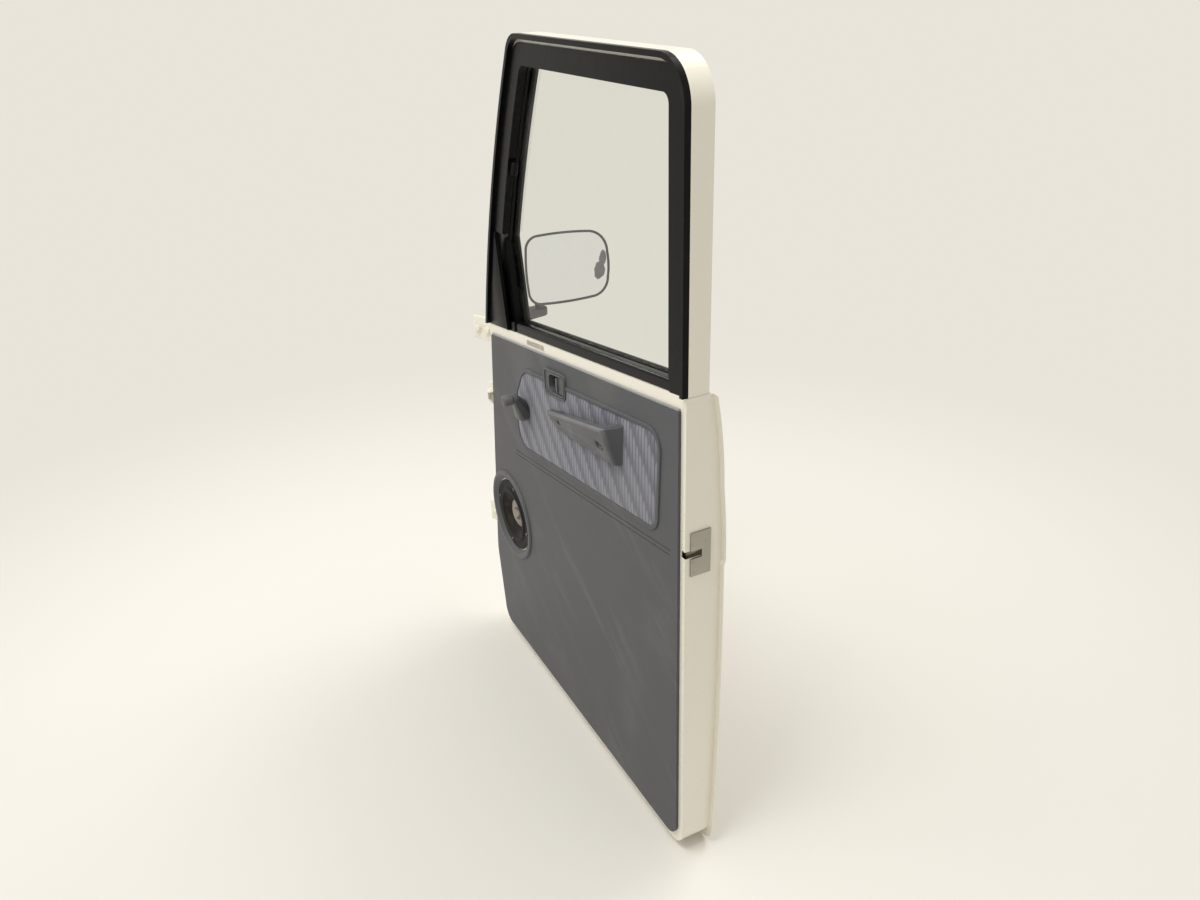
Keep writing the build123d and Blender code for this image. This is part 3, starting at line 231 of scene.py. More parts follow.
class Lumps(NamedTuple):
    """Noise: lumps per metre, octaves of detail and the strength of each finer octave."""

    scale: float
    detail: float = 2.0
    rough: float = 0.5


class Marks(NamedTuple):
    """Long marks: stretch along X, Y and Z, lean in degrees, noise and where its ramp rises."""

    stretch: Point
    lean: float
    lumps: Lumps
    span: Ramp


class Bench:
    """Node tree of a material or of the world."""

    def __init__(self, owner: bpy.types.Material | bpy.types.World) -> None:
        """Empty the owner's tree."""
        owner.use_nodes = True
        self.owner = owner
        self.tree = owner.node_tree
        self.tree.nodes.clear()

    def add(
        self,
        kind: str,
        settings: dict[str, object] | None = None,
        sockets: dict[int | str, object] | None = None,
        output: int | str = 0,
    ) -> Wire:
        """Add a node and say what its sockets hold.

        Args:
            kind: Blender's name of the node's type.
            settings: Properties of the node, set first.
            sockets: Values, colour codes or wires by the socket's place or name.
            output: Place or name of the output to return.

        Returns:
            The node's output as a wire.
        """
        node = self.tree.nodes.new(kind)
        for name, value in (settings or {}).items():
            setattr(node, name, value)
        for key, value in (sockets or {}).items():
            if isinstance(value, Wire):
                self.tree.links.new(value.socket, node.inputs[key])
            else:
                node.inputs[key].default_value = linear(value) if isinstance(value, str) else value
        return Wire(self, node.outputs[output] if len(node.outputs) else None)

    def place(self, scale: Point = (1, 1, 1), turn: float = 0.0) -> Wire:
        """Object coordinates, turned about Y by radians and then stretched along each axis."""
        at = self.add("ShaderNodeTexCoord", output="Object")
        shrink = tuple(1 / factor for factor in scale)
        sockets = {"Vector": at, "Rotation": (0, turn, 0), "Scale": shrink}
        return self.add("ShaderNodeMapping", {"vector_type": "TEXTURE"}, sockets)

    @cached_property
    def at(self) -> Wire:
        """Object coordinates as they are."""
        return self.place()

    def axes(self, vector: Wire | None = None) -> tuple[Wire, Wire, Wire]:
        """Split a vector, or the object coordinates, into three parts."""
        node = self.add("ShaderNodeSeparateXYZ", sockets={0: vector or self.at}).socket.node
        return tuple(Wire(self, node.outputs[i]) for i in range(3))

    def noise(self, lumps: Lumps, at: Wire | None = None) -> Wire:
        """Noise from 0 to 1, on object coordinates unless others are given."""
        sockets = {"Vector": at or self.at, "Scale": lumps.scale, "Detail": lumps.detail}
        return self.add("ShaderNodeTexNoise", sockets=sockets | {"Roughness": lumps.rough})

    def marks(self, marks: Marks) -> Wire:
        """Long marks from 0 to 1."""
        at = self.place(marks.stretch, math.radians(marks.lean))
        return self.noise(marks.lumps, at).rise(*marks.span)

    def cells(self, scale: float) -> Wire:
        """Distance to the nearest point of a scattered set, for grain and drops."""
        return self.add("ShaderNodeTexVoronoi", sockets={"Vector": self.at, "Scale": scale})

    def mix(self, share: Wire | float, first: Wire | str, second: Wire | str) -> Wire:
        """Blend two colours."""
        sockets = {0: share, 6: first, 7: second}
        return self.add("ShaderNodeMix", {"data_type": "RGBA"}, sockets, output=2)

    def surface(
        self, colour: Wire | str, rough: Wire | float, relief: Wire | None = None,
        depth: float = 0.0, shine: float = 0.5, **others: object,
    ) -> None:
        """Put a Principled surface on the material's output.

        Args:
            colour: Base colour.
            rough: Roughness.
            relief: Height from 0 to 1.
            depth: Height in metres that 1 stands for.
            shine: Strength of its gleam, where 0.5 is plain.
            **others: Further sockets, with underscores for the spaces in their names.
        """
        sockets = {"Base Color": colour, "Roughness": rough, "Specular IOR Level": shine}
        if relief:
            heights = {"Height": relief, "Distance": depth}
            sockets["Normal"] = self.add("ShaderNodeBump", sockets=heights)
        sockets |= {name.replace("_", " "): value for name, value in others.items()}
        self.show(self.add("ShaderNodeBsdfPrincipled", sockets=sockets))

    def show(self, shader: Wire, output: str = "ShaderNodeOutputMaterial") -> None:
        """Put a shader on the tree's output."""
        self.add(output, sockets={"Surface": shader})


# Finishes. A Ramp is where an effect starts and is full, and how strong it then is if not whole.
# Shares say how strong an effect is. Depths and places are in metres.


class Finish(Protocol):
    """Look of a surface."""

    def dress(self, bench: Bench) -> None:
        """Build the look's nodes."""


@dataclass(frozen=True)
class Tape:
    """Torn tape on the sill below the window, over paint."""

    colour: str = "#8f8572"
    share: float = 0.85
    dull: float = 0.4
    at: Pair = (0.361, 0.0295)
    fibres: Lumps = Lumps(260.0, 3.0, 0.7)
    fray_long: float = 0.014
    fray_tall: float = 0.004
    half_long: Pair = (0.044, 0.049)
    half_tall: Pair = (0.0062, 0.0078)
    torn: Pair = (0.30, 0.46)

    def cover(self, bench: Bench) -> Wire:
        """Share of the surface that the tape covers."""
        x, _, z = bench.axes()
        along, up = x - self.at[0], z - x * BELT_SLOPE - self.at[1]
        fibres = bench.noise(self.fibres)
        inside = (1 - (abs(along) + fibres * self.fray_long).rise(*self.half_long)) * (
            1 - (abs(up) + fibres * self.fray_tall).rise(*self.half_tall)
        )
        return inside * fibres.rise(*self.torn)


@dataclass(frozen=True)
class Reveal:
    """Black over paint, on what faces the window glass or lies beside the division bar."""

    colour: str = "#0e0f10"
    share: float = 1.0
    dull: float = 0.15
    glass_middle: Pair = (0.555, 0.340)
    to_glass: Pair = (0.25, 0.35)
    to_cab: Pair = (0.3, 0.5)
    deep_y: Pair = (-0.032, -0.028)
    bar_x: float = 0.2318
    bar_lean: float = 0.16
    bar_edge: Pair = (-0.001, 0.001)
    bar_top: Pair = (0.266, 0.268)

    def cover(self, bench: Bench) -> Wire:
        """Share of black."""
        x, y, z = bench.axes()
        facing_x, facing_y, facing_z = bench.axes(bench.add("ShaderNodeTexCoord", output="Normal"))
        along, up = self.glass_middle[0] - x, self.glass_middle[1] - z
        into = (facing_x * along + facing_z * up) / length(along, up)
        inward = (0 - facing_y).rise(*self.to_cab)
        deep = inward * y.rise(*self.deep_y)
        behind_bar = (x - self.bar_x + z * self.bar_lean).rise(*self.bar_edge)
        beside = inward * behind_bar * (1 - z.rise(*self.bar_top))
        return into.rise(*self.to_glass).most(deep).most(beside)


@dataclass(frozen=True)
class Paint:
    """Warm white body paint under a clear gloss, with faint grime, more of it low down."""

    over: Tape | Reveal | None = None
    colour: str = "#ece6d6"
    grime: str = "#9c8d72"
    cloud: Lumps = Lumps(7.0, 6.0, 0.62)
    speck: Lumps = Lumps(210.0)
    speck_share: float = 0.4
    low: Ramp = (-0.38, -0.80, 0.06)
    grimy: Ramp = (0.55, 0.85)
    grime_share: float = 0.28
    rough: float = 0.20
    dull: float = 0.30
    peel: Lumps = Lumps(330.0, 1.0)
    depth: float = 0.00012
    coat: float = 0.35
    coat_rough: float = 0.08

    def dress(self, bench: Bench) -> None:
        """Build the paint's nodes."""
        _, _, z = bench.axes()
        spread = bench.noise(self.cloud).blend(bench.noise(self.speck), self.speck_share)
        grime = (spread + z.rise(*self.low)).rise(*self.grimy)
        colour = bench.mix(grime * self.grime_share, self.colour, self.grime)
        rough = self.rough + grime * self.dull
        if self.over:
            cover = self.over.cover(bench)
            colour = bench.mix(cover * self.over.share, colour, self.over.colour)
            rough = rough + cover * self.over.dull
        bench.surface(
            colour, rough, bench.noise(self.peel), self.depth, Coat_Weight=self.coat,
            Coat_Roughness=self.coat_rough,
        )


@dataclass(frozen=True)
class Vinyl:
    """Grained vinyl on the trim board, with rubbed places and a few pale scratches."""

    colour: str = "#4f5053"
    rubbed: str = "#656566"
    pit: str = "#3f3f41"
    scratch: str = "#8d8d8b"
    cloud: Lumps = Lumps(5.0, 5.0, 0.6)
    worn: Ramp = (0.50, 0.78, 0.45)
    streaks: Marks = Marks((2.2, 14.0, 20.0), 35.0, Lumps(1.0, 5.0, 0.65), (0.52, 0.76, 0.55))
    cell: float = 1050.0
    pitted: Ramp = (0.35, 0.75, 0.22)
    scratches: Marks = Marks((9.0, 60.0, 520.0), 38.0, Lumps(1.0, 1.0), (0.76, 0.80))
    scratched: Ramp = (0.50, 0.60, 0.5)
    pores: Lumps = Lumps(1500.0)
    pore_share: float = 0.3
    rough: float = 0.52
    polish: float = 0.10
    grit: float = 0.08
    depth: float = 0.00035
    shine: float = 0.42

    def dress(self, bench: Bench) -> None:
        """Build the vinyl's nodes."""
        cloud = bench.noise(self.cloud)
        grain = bench.cells(self.cell)
        pores = bench.noise(self.pores)
        rub = cloud.rise(*self.worn) + bench.marks(self.streaks)
        colour = bench.mix(rub, self.colour, self.rubbed)
        colour = bench.mix(grain.rise(*self.pitted), colour, self.pit)
        scratch = bench.marks(self.scratches) * cloud.rise(*self.scratched)
        colour = bench.mix(scratch, colour, self.scratch)
        rough = self.rough - rub * self.polish + pores * self.grit
        relief = grain.blend(pores, self.pore_share)
        bench.surface(colour, rough, relief, self.depth, self.shine)


class HeldHighlitLine(NamedTuple):
    """Line that hands rub and light catches: its ends, the axis that it is followed along, and its
    share of rubbing and painted highlight.

    The rubbing and highlight are full within core of the line and gone at reach.
    """

    start: Point
    end: Point
    axis: int
    share: float
    reach: float
    core: float = 0.002

    def wear_and_highlight(self, parts: Sequence[Wire]) -> Wire:
        """Share of rubbing and painted highlight at a place given by its three parts."""
        start, end, axis = self.start, self.end, self.axis
        along = (parts[axis] - start[axis]) / (end[axis] - start[axis])
        off = [
            parts[i] - (along * (end[i] - start[i]) + start[i]) for i in range(3) if i != axis
        ]
        return (1 - length(*off).rise(self.core, self.reach)) * self.share


# Armrest's ridge and rear corner, lighter for rubbing and for a painted highlight.
ARMREST_LINES = (
    HeldHighlitLine((0.4318, -0.0560, -0.017), (0.6978, -0.0800, 0.059), 0, 1.0, 0.011),
    HeldHighlitLine((0.6978, -0.0800, 0.059), (0.7114, -0.0660, 0.0), 2, 0.8, 0.012),
)


@dataclass(frozen=True)
class Moulded:
    """Moulded grey plastic with a fine spark grain, polished where it stands out or is held, and
    lighter there for rubbing and a painted highlight.
    """

    colour: str = "#47484b"
    # Lighter colour of rubbing, which also paints the highlight on edges and held lines.
    worn: str = "#6b6b6b"
    # Lines that are rubbed and carry a painted highlight.
    held: tuple[HeldHighlitLine, ...] = ()
    held_share: float = 0.65
    cloud: Lumps = Lumps(16.0, 4.0, 0.6)
    cloudy: Ramp = (0.52, 0.8, 0.35)
    # Pointiness at which convex edges turn lighter, for rubbing and painted highlight.
    edge: Ramp = (0.505, 0.56, 0.55)
    grain: Lumps = Lumps(1700.0, 2.0, 0.6)
    rough: float = 0.40
    polish: float = 0.10
    grit: float = 0.08
    depth: float = 0.00016
    shine: float = 0.45

    def dress(self, bench: Bench) -> None:
        """Build the plastic's nodes."""
        cloud = bench.noise(self.cloud)
        grain = bench.noise(self.grain)
        # Painted highlight with rubbing: convex edges take the lighter colour.
        edge = bench.add("ShaderNodeNewGeometry", output="Pointiness").rise(*self.edge)
        wear_and_highlight = (edge + cloud.rise(*self.cloudy)).least(1.0)
        for line in self.held:
            uneven = 1 - self.held_share + cloud * self.held_share
            wear_and_highlight = wear_and_highlight.most(line.wear_and_highlight(bench.axes()) * uneven)
        colour = bench.mix(wear_and_highlight, self.colour, self.worn)
        rough = self.rough - wear_and_highlight * self.polish + grain * self.grit
        bench.surface(colour, rough, grain, self.depth, self.shine)


@dataclass(frozen=True)
class Cloth:
    """Ribbed seat cloth whose columns carry pointed pale strokes, each lower than the last.

    Places are on the piece's own UV map, which is in metres. A side runs from 0 in the middle
    of a column to 0.5 at the furrow beside it, and a stroke's length is counted in periods.
    """

    ground: str = "#5b5b67"
    patch: str = "#656469"
    stroke: str = "#83838b"
    furrow: str = "#3d3d45"
    shade: str = "#3f3f48"
    column: float = 0.0095
    drop: float = 0.0118
    period: float = 0.0665
    start: Pair = (0.00275, 0.0202)
    wander: Lumps = Lumps(22.0, 3.0)
    wander_share: float = 0.03
    half: float = 0.42
    tip: Pair = (0.0, 0.20)
    tip_power: float = 0.7
    rim: Pair = (0.0, 0.09)
    fade: Pair = (0.40, 0.95)
    thread: float = 0.0019
    warp_thread: float = 0.0019 / 1.3
    fuzz: Lumps = Lumps(900.0, 3.0, 0.7)
    broad: Lumps = Lumps(5.0, 3.0)
    patchy: Pair = (0.35, 0.65)
    line: Ramp = (0.42, 0.48, 0.75)
    line_weave: float = 0.65
    shaded: Ramp = (0.35, 1.0, 0.20)
    shade_shares: Pair = (0.5, 0.7)
    round: Pair = (0.30, 0.5)
    height_shares: Quad = (0.55, 0.15, 0.12, 0.18)
    depth: float = 0.0006
    rough: float = 0.92
    sheen: float = 0.25
    sheen_rough: float = 0.5
    shine: float = 0.2

    def dress(self, bench: Bench) -> None:
        """Build the cloth's nodes."""
        uv = bench.add("ShaderNodeUVMap", {"uv_map": "cut"})
        across, up, _ = bench.axes(uv)
        wander = bench.noise(self.wander, uv) - 0.5
        ribs = (across - self.start[0]) / self.column
        side = abs(ribs.part() - 0.5)
        cycle = (self.start[1] - up - math.floor(ribs) * self.drop) / self.period
        down = (cycle + wander * self.wander_share).part()
        half = self.half * down.rise(*self.tip) ** self.tip_power
        stroke = (half - side).rise(*self.rim) * (1 - down.rise(*self.fade))
        weave, warp = up.wave(self.thread), across.wave(self.warp_thread)
        fuzz, broad = bench.noise(self.fuzz, uv), bench.noise(self.broad, uv)
        colour = bench.mix(broad.rise(*self.patchy), self.ground, self.patch)
        colour = bench.mix(stroke, colour, self.stroke)
        line = side.rise(*self.line) * (1 - self.line_weave + weave * self.line_weave)
        colour = bench.mix(line, colour, self.furrow)
        shade = weave * self.shade_shares[0] + fuzz * self.shade_shares[1]
        colour = bench.mix(shade.rise(*self.shaded), colour, self.shade)
        heights = (1 - side.rise(*self.round), weave, warp, fuzz)
        first, *rest = (part * share for part, share in zip(heights, self.height_shares))
        bench.surface(
            colour, self.rough, sum(rest, first), self.depth, self.shine,
            Sheen_Weight=self.sheen, Sheen_Roughness=self.sheen_rough,
        )


@dataclass(frozen=True)
class Dirt:
    """Dust or rust that lies in clouds, broken up by a fine grain."""

    colour: str
    cloud: Lumps
    fine: Lumps
    fine_share: float
    dirty: Ramp

    def spread(self, bench: Bench) -> tuple[Wire, Wire]:
        """Share of the surface that is dirty, and the fine grain."""
        fine = bench.noise(self.fine)
        dirt = bench.noise(self.cloud).blend(fine, self.fine_share)
        return dirt.rise(*self.dirty), fine


@dataclass(frozen=True)
class Plain:
    """Plastic, rubber or plated steel in one colour, with a faint grain and some dirt.

    Dirt adds dull to the roughness and the grain adds spark. Steel has a tarnish, which is how
    much dirt takes from its metal look.
    """

    colour: str
    dirt: Dirt
    rough: float
    dull: float
    depth: float
    spark: float = 0.0
    shine: float = 0.5
    tarnish: float = 0.0

    def dress(self, bench: Bench) -> None:
        """Build the surface's nodes."""
        dirt, fine = self.dirt.spread(bench)
        colour = bench.mix(dirt, self.colour, self.dirt.colour)
        rough = self.rough + dirt * self.dull + fine * self.spark
        metallic = 1 - dirt * self.tarnish if self.tarnish else 0.0
        bench.surface(colour, rough, fine, self.depth, self.shine, Metallic=metallic)


def satin(
    colour: str, dust: str, rough: float, grain: float = 1300.0, depth: float = 0.00012,
    shine: float = 0.5,
) -> Plain:
    """Satin plastic with some dust."""
    dirt = Dirt(dust, Lumps(12.0, 4.0, 0.6), Lumps(grain, 2.0, 0.6), 0.2, (0.50, 0.82, 0.4))
    return Plain(colour, dirt, rough, dull=0.2, depth=depth, spark=0.06, shine=shine)


def rubber(colour: str = "#0d0d0e", rough: float = 0.28, shine: float = 0.10) -> Plain:
    """Black rubber or soft strip with dust in it."""
    dirt = Dirt("#35342f", Lumps(30.0, 5.0, 0.65), Lumps(800.0), 0.3, (0.50, 0.80, 0.3))
    return Plain(colour, dirt, rough, dull=0.25, depth=0.00006, shine=shine)


def steel(colour: str = "#a8a49a", rusty: float = 0.35) -> Plain:
    """Zinc-plated steel gone dull, with rust in places."""
    dirt = Dirt("#6b4a33", Lumps(60.0, 6.0, 0.7), Lumps(900.0), 0.2, (0.52, 0.72, rusty))
    return Plain(colour, dirt, 0.34, dull=0.4, depth=0.00008, tarnish=0.8)


@dataclass(frozen=True)
class Paper:
    """Dark pressed paper of the speaker's cone, ringed and dusty, inside a plainer flange."""

    colour: str = "#0d0c0c"
    dirt: Dirt = Dirt("#57493b", Lumps(34.0, 4.0, 0.6), Lumps(420.0, 5.0, 0.7), 0.3, (0.46, 0.75))
    edge: Pair = (0.0500, 0.0510)
    dust_shares: Pair = (0.12, 0.6)
    ring: float = 0.0042
    height_shares: Pair = (0.1, 0.9)
    rough: float = 0.62
    dull: float = 0.25
    depth: float = 0.0005
    shine: float = 0.25

    def dress(self, bench: Bench) -> None:
        """Build the paper's nodes, with shares for all of it and for the paper alone."""
        x, _, z = bench.axes()
        radius = length(x - SPEAKER_CENTRE[0], z - SPEAKER_CENTRE[1])
        paper = 1 - radius.rise(*self.edge)
        dust, fibre = self.dirt.spread(bench)
        share = dust * (self.dust_shares[0] + paper * self.dust_shares[1])
        colour = bench.mix(share, self.colour, self.dirt.colour)
        height = radius.wave(self.ring).blend(fibre, 0.5)
        height = height * (self.height_shares[0] + paper * self.height_shares[1])
        rough = self.rough + dust * self.dull
        bench.surface(colour, rough, height, self.depth, self.shine)


@dataclass(frozen=True)
class DustCap:
    """Beige dust cap with cloudy stains, and painted shade for its dent: the part of one round that
    another leaves over.
    """

    colour: str = "#8f877b"
    # Colour of the stains, which also paints the shade of the dent.
    stain_and_shade: str = "#3c332b"
    outer_at: Pair = (0.011, 0.006)
    outer: Pair = (0.012, 0.016)
    inner_at: Pair = (0.003, 0.002)
    inner: Ramp = (0.007, 0.012, 0.85)
    cloud: Lumps = Lumps(70.0, 4.0, 0.65)
    ragged: float = 0.010
    cloudy: Ramp = (0.5, 0.8, 0.3)
    most: float = 0.9
    fibre: Lumps = Lumps(600.0, 3.0, 0.7)
    rough: float = 0.60
    depth: float = 0.0003

    def dress(self, bench: Bench) -> None:
        """Build the cap's nodes."""
        x, _, z = bench.axes()
        right, up = x - SPEAKER_CENTRE[0], z - SPEAKER_CENTRE[1]
        cloud = bench.noise(self.cloud)
        ragged = (cloud - 0.5) * self.ragged
        outer, inner = (
            length(right - middle[0], up - middle[1]) + ragged
            for middle in (self.outer_at, self.inner_at)
        )
        # Painted shade: the dark part of one round that another leaves over stands for the shade in
        # the cap's dent.
        crescent_shade = (1 - outer.rise(*self.outer)) * inner.rise(*self.inner)
        stain_and_shade = (crescent_shade + cloud.rise(*self.cloudy)).least(self.most)
        colour = bench.mix(stain_and_shade, self.colour, self.stain_and_shade)
        bench.surface(colour, self.rough, bench.noise(self.fibre), self.depth)


@dataclass(frozen=True)
class ClearGlass:
    """Thin window glass: clear, with a sky gleam at a slant and a film of dust."""

    tint: str = "#f9faf8"
    powder: str = "#cfcabf"
    film: Lumps = Lumps(6.0, 6.0, 0.65)
    filmed: Ramp = (0.42, 0.80, 0.05)
    specks: Lumps = Lumps(380.0)
    specked: Ramp = (0.70, 0.78, 0.10)
    gleam_rough: float = 0.02
    slant_power: float = 5
    slant_share: float = 0.9
    gleam_share: float = 0.04

    def dress(self, bench: Bench) -> None:
        """Build the glass's nodes."""
        film = bench.noise(self.film).rise(*self.filmed)
        specks = bench.noise(self.specks).rise(*self.specked)
        clear = bench.add("ShaderNodeBsdfTransparent", sockets={0: self.tint})
        gleam = bench.add("ShaderNodeBsdfGlossy", sockets={"Roughness": self.gleam_rough})
        slant = bench.add("ShaderNodeLayerWeight", output="Facing")
        inner = bench.add("ShaderNodeNewGeometry", output="Backfacing")
        gloss = (slant**self.slant_power * self.slant_share + self.gleam_share) * (1 - inner)
        pane = bench.add("ShaderNodeMixShader", sockets={0: gloss, 1: clear, 2: gleam})
        powder = bench.add("ShaderNodeBsdfDiffuse", sockets={0: self.powder})
        bench.show(
            bench.add("ShaderNodeMixShader", sockets={0: film + specks, 1: pane, 2: powder})
        )


@dataclass(frozen=True)
class Silver:
    """Mirror glass with dried drops on it and a blotch where the silver has gone.

    The blotch is two ovals, each given by the Y and Z of its middle and its half width and height.
    """

    colour: str = "#f8f9fc"
    bare: str = "#77757a"
    ovals: tuple[Quad, Quad] = ((0.190, 0.176, 0.009, 0.016), (0.182, 0.152, 0.013, 0.019))
    ragged: Lumps = Lumps(45.0, 4.0, 0.7)
    ragged_share: float = 1.1
    blotched: Pair = (0.90, 1.04)
    drops: float = 260.0
    drop: Pair = (0.16, 0.34)
    film: Lumps = Lumps(14.0, 5.0, 0.6)
    filmed: Pair = (0.40, 0.75)
    rough: float = 0.03
    dull: Point = (0.05, 0.35, 0.45)
    dullest: float = 0.8
    bare_share: float = 0.9
    dried_share: float = 0.45

    def dress(self, bench: Bench) -> None:
        """Build the mirror's nodes, made dull by its film, its dried drops and its blotch."""
        _, y, z = bench.axes()
        upper, lower = (
            length((y - oval[0]) / oval[2], (z - oval[1]) / oval[3]) for oval in self.ovals
        )
        ragged = (bench.noise(self.ragged) - 0.5) * self.ragged_share
        blotch = 1 - (upper.least(lower) + ragged).rise(*self.blotched)
        film = bench.noise(self.film).rise(*self.filmed)
        dried = (1 - bench.cells(self.drops).rise(*self.drop)) * film
        rough = self.rough
        for dirt, dull in zip((film, dried, blotch), self.dull):
            rough = rough + dirt * dull
        metallic = 1 - blotch * self.bare_share - dried * self.dried_share
        colour = bench.mix(blotch, self.colour, self.bare)
        bench.surface(colour, rough.least(self.dullest), Metallic=metallic)


FINISHES: dict[Slot, Finish] = {
    Slot.PAINT: Paint(),
    Slot.VINYL: Vinyl(),
    Slot.MOULDED: Moulded(),
    Slot.BEZEL: satin("#4d4e52", "#6c6b67", 0.44),
    Slot.BEAD: satin("#9b9a97", "#7a776e", 0.45),
    Slot.CLOTH: Cloth(),
    Slot.CONE: Paper(),
    Slot.CAP: DustCap(),
    Slot.GARNISH: satin("#08090a", "#1f1e1d", 0.24, shine=0.10),
    Slot.RUBBER: rubber(),
    Slot.GLASS: ClearGlass(),
    Slot.SILVER: Silver(),
    Slot.MIRROR_BLACK: satin("#434347", "#575656", 0.50, 700.0, 0.0003),
    Slot.STEEL: steel(),
}


@cache
def dressed(name: str, finish: Finish) -> bpy.types.Material:
    """Material of that name, made by its finish when first asked for."""
    material = bpy.data.materials.new(name)
    finish.dress(Bench(material))
    return material


def of_slot(slot: Slot) -> bpy.types.Material:
    """Material of one of the record's slots."""
    return dressed(slot.value, FINISHES[slot])


# Shapes


def placed(name: str, data: bpy.types.ID) -> bpy.types.Object:
    """New object of the scene with its data."""
    item = bpy.data.objects.new(name, data)
    bpy.context.scene.collection.objects.link(item)
    return item


class Form:
    """A mesh in the making, in millimetres for all but the floor."""

    def __init__(self) -> None:
        """Start an empty mesh."""
        self.mesh = bmesh.new()

    @classmethod
    def copy_of(cls, node: bpy.types.Object, angle: float) -> "Form":
        """Copy a node of the door, with faces within an angle of one plane merged."""
        form = cls()
        form.mesh.from_mesh(node.data)
        form.move(DOOR_PLACE.inverted())
        bmesh.ops.remove_doubles(form.mesh, verts=form.mesh.verts, dist=SAME_PLACE / 2)
        form.flatten(angle)
        return form

    def outline(self, points: Iterable[Point]) -> bmesh.types.BMFace:
        """Face round a closed run of points."""
        corners = [bmesh.ops.create_vert(self.mesh, co=point)["vert"][0] for point in points]
        return bmesh.ops.contextual_create(self.mesh, geom=corners)["faces"][0]

    def push(self, faces: Iterable[bmesh.types.BMFace], by: Point) -> list[bmesh.types.BMVert]:
        """Extrude faces along a vector and return the moved points; lone faces leave a base."""
        faces = list(faces)
        edges = {edge: None for face in faces for edge in face.edges}
        made = bmesh.ops.extrude_face_region(self.mesh, geom=[*faces, *edges])["geom"]
        moved = [item for item in made if isinstance(item, bmesh.types.BMVert)]
        bmesh.ops.translate(self.mesh, verts=moved, vec=by)
        return moved

    def prism(self, corners: Iterable[Pair], span: Pair, width: float) -> None:
        """Solid between two Y from an outline of X and Z, with its edges rounded."""
        near, far = span
        self.push([self.outline((x, near, z) for x, z in corners)], (0, far - near, 0))
        self.soften(width)

    def bevel(
        self, geom: Iterable[object], width: float, segments: int, *, clamp: bool = False,
        affect: str = "EDGES",
    ) -> None:
        """Round edges or a face's corners, held back where they would overlap if clamped."""
        bmesh.ops.bevel(
            self.mesh, geom=list(geom), offset=width, segments=segments, profile=0.5,
            affect=affect, material=-1, clamp_overlap=clamp,
        )

    def soften(self, width: float, angle: float = 30.0, segments: int = 3) -> None:
        """Bevel every edge that turns more than an angle in degrees."""
        limit = math.radians(angle)
        edges = [e for e in self.mesh.edges if e.is_manifold and e.calc_face_angle(0.0) > limit]
        self.bevel(edges, width, segments, clamp=True)

    def rod(
        self, place: Matrix, tall: float, low_radius: float, high_radius: float,
        segments: int = 32,
    ) -> list[bmesh.types.BMVert]:
        """Add a bar that stands on a place's zero along its Z axis, and return its points."""
        return bmesh.ops.create_cone(
            self.mesh, cap_ends=True, segments=segments, radius1=low_radius, radius2=high_radius,
            depth=tall, matrix=place @ Matrix.Translation((0, 0, tall / 2)),
        )["verts"]

    def ring(self, place: Matrix, radius: float) -> None:
        """Add a circle of points round a place's zero, for a hull."""
        bmesh.ops.create_circle(self.mesh, segments=40, radius=radius, matrix=place)

    def hull(self) -> None:
        """Wrap all points in one convex skin."""
        made = bmesh.ops.convex_hull(self.mesh, input=list(self.mesh.verts))
        spare = made["geom_interior"] + made["geom_unused"]
        inner = {item for item in spare if isinstance(item, bmesh.types.BMVert)}
        bmesh.ops.delete(self.mesh, geom=list(inner), context="VERTS")
        self.flatten(0.5)

    def flatten(self, angle: float) -> None:
        """Merge faces that lie within an angle in degrees of one plane."""
        bmesh.ops.dissolve_limit(
            self.mesh, angle_limit=math.radians(angle), verts=self.mesh.verts, edges=self.mesh.edges
        )

    def turn(self, profile: list[Pair], x: float, z: float, steps: int = 72) -> None:
        """Spin a closed run of radius and depth about an axis across the door."""
        corners = [
            bmesh.ops.create_vert(self.mesh, co=(x + radius, y, z))["vert"][0]
            for radius, y in profile
        ]
        edges = [self.mesh.edges.new(pair) for pair in zip(corners, corners[1:] + corners[:1])]
        bmesh.ops.spin(
            self.mesh, geom=corners + edges, cent=(x, 0, z), axis=(0, 1, 0), angle=2 * math.pi,
            steps=steps, use_merge=True,
        )
        bmesh.ops.remove_doubles(self.mesh, verts=self.mesh.verts, dist=SAME_PLACE)

    def take(self, other: "Form") -> None:
        """Add another form's mesh."""
        data = other.data("part")
        self.mesh.from_mesh(data)
        bpy.data.meshes.remove(data)

    def move(self, matrix: Matrix) -> None:
        """Carry the whole mesh by a matrix."""
        bmesh.ops.transform(self.mesh, matrix=matrix, verts=self.mesh.verts)

    def data(self, name: str) -> bpy.types.Mesh:
        """Hand the mesh over as an object's data."""
        data = bpy.data.meshes.new(name)
        self.mesh.to_mesh(data)
        self.mesh.free()
        return data

    def finish(
        self, name: str, body: Body, slot: Slot, smooth: float = 35.0, *,
        node: str = "", place: Matrix = DOOR_PLACE, material: bpy.types.Material | None = None,
    ) -> bpy.types.Object:
        """Turn the mesh into a piece of the object.

        Args:
            name: Name of the piece.
            body: Body that it moves with.
            slot: Material slot that it belongs to.
            smooth: Angle in degrees under which edges are shaded smooth.
            node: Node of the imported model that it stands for, if any.
            place: Matrix from the drawing's millimetres to metres in the model's frame.
            material: Material of its own, in place of the slot's.

        Returns:
            The new object.
        """
        bmesh.ops.remove_doubles(self.mesh, verts=self.mesh.verts, dist=SAME_PLACE)
        self.move(place)
        bmesh.ops.recalc_face_normals(self.mesh, faces=self.mesh.faces)
        for face in self.mesh.faces:
            face.smooth = True
        limit = math.radians(smooth)
        for edge in self.mesh.edges:
            edge.smooth = edge.is_manifold and edge.calc_face_angle(0.0) < limit
        piece = placed(name, self.data(name))
        piece.data.materials.append(material or of_slot(slot))
        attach(piece, body.value)
        if node:
            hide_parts(node)
        LOG.info("made %s on %s", name, body.value)
        return piece


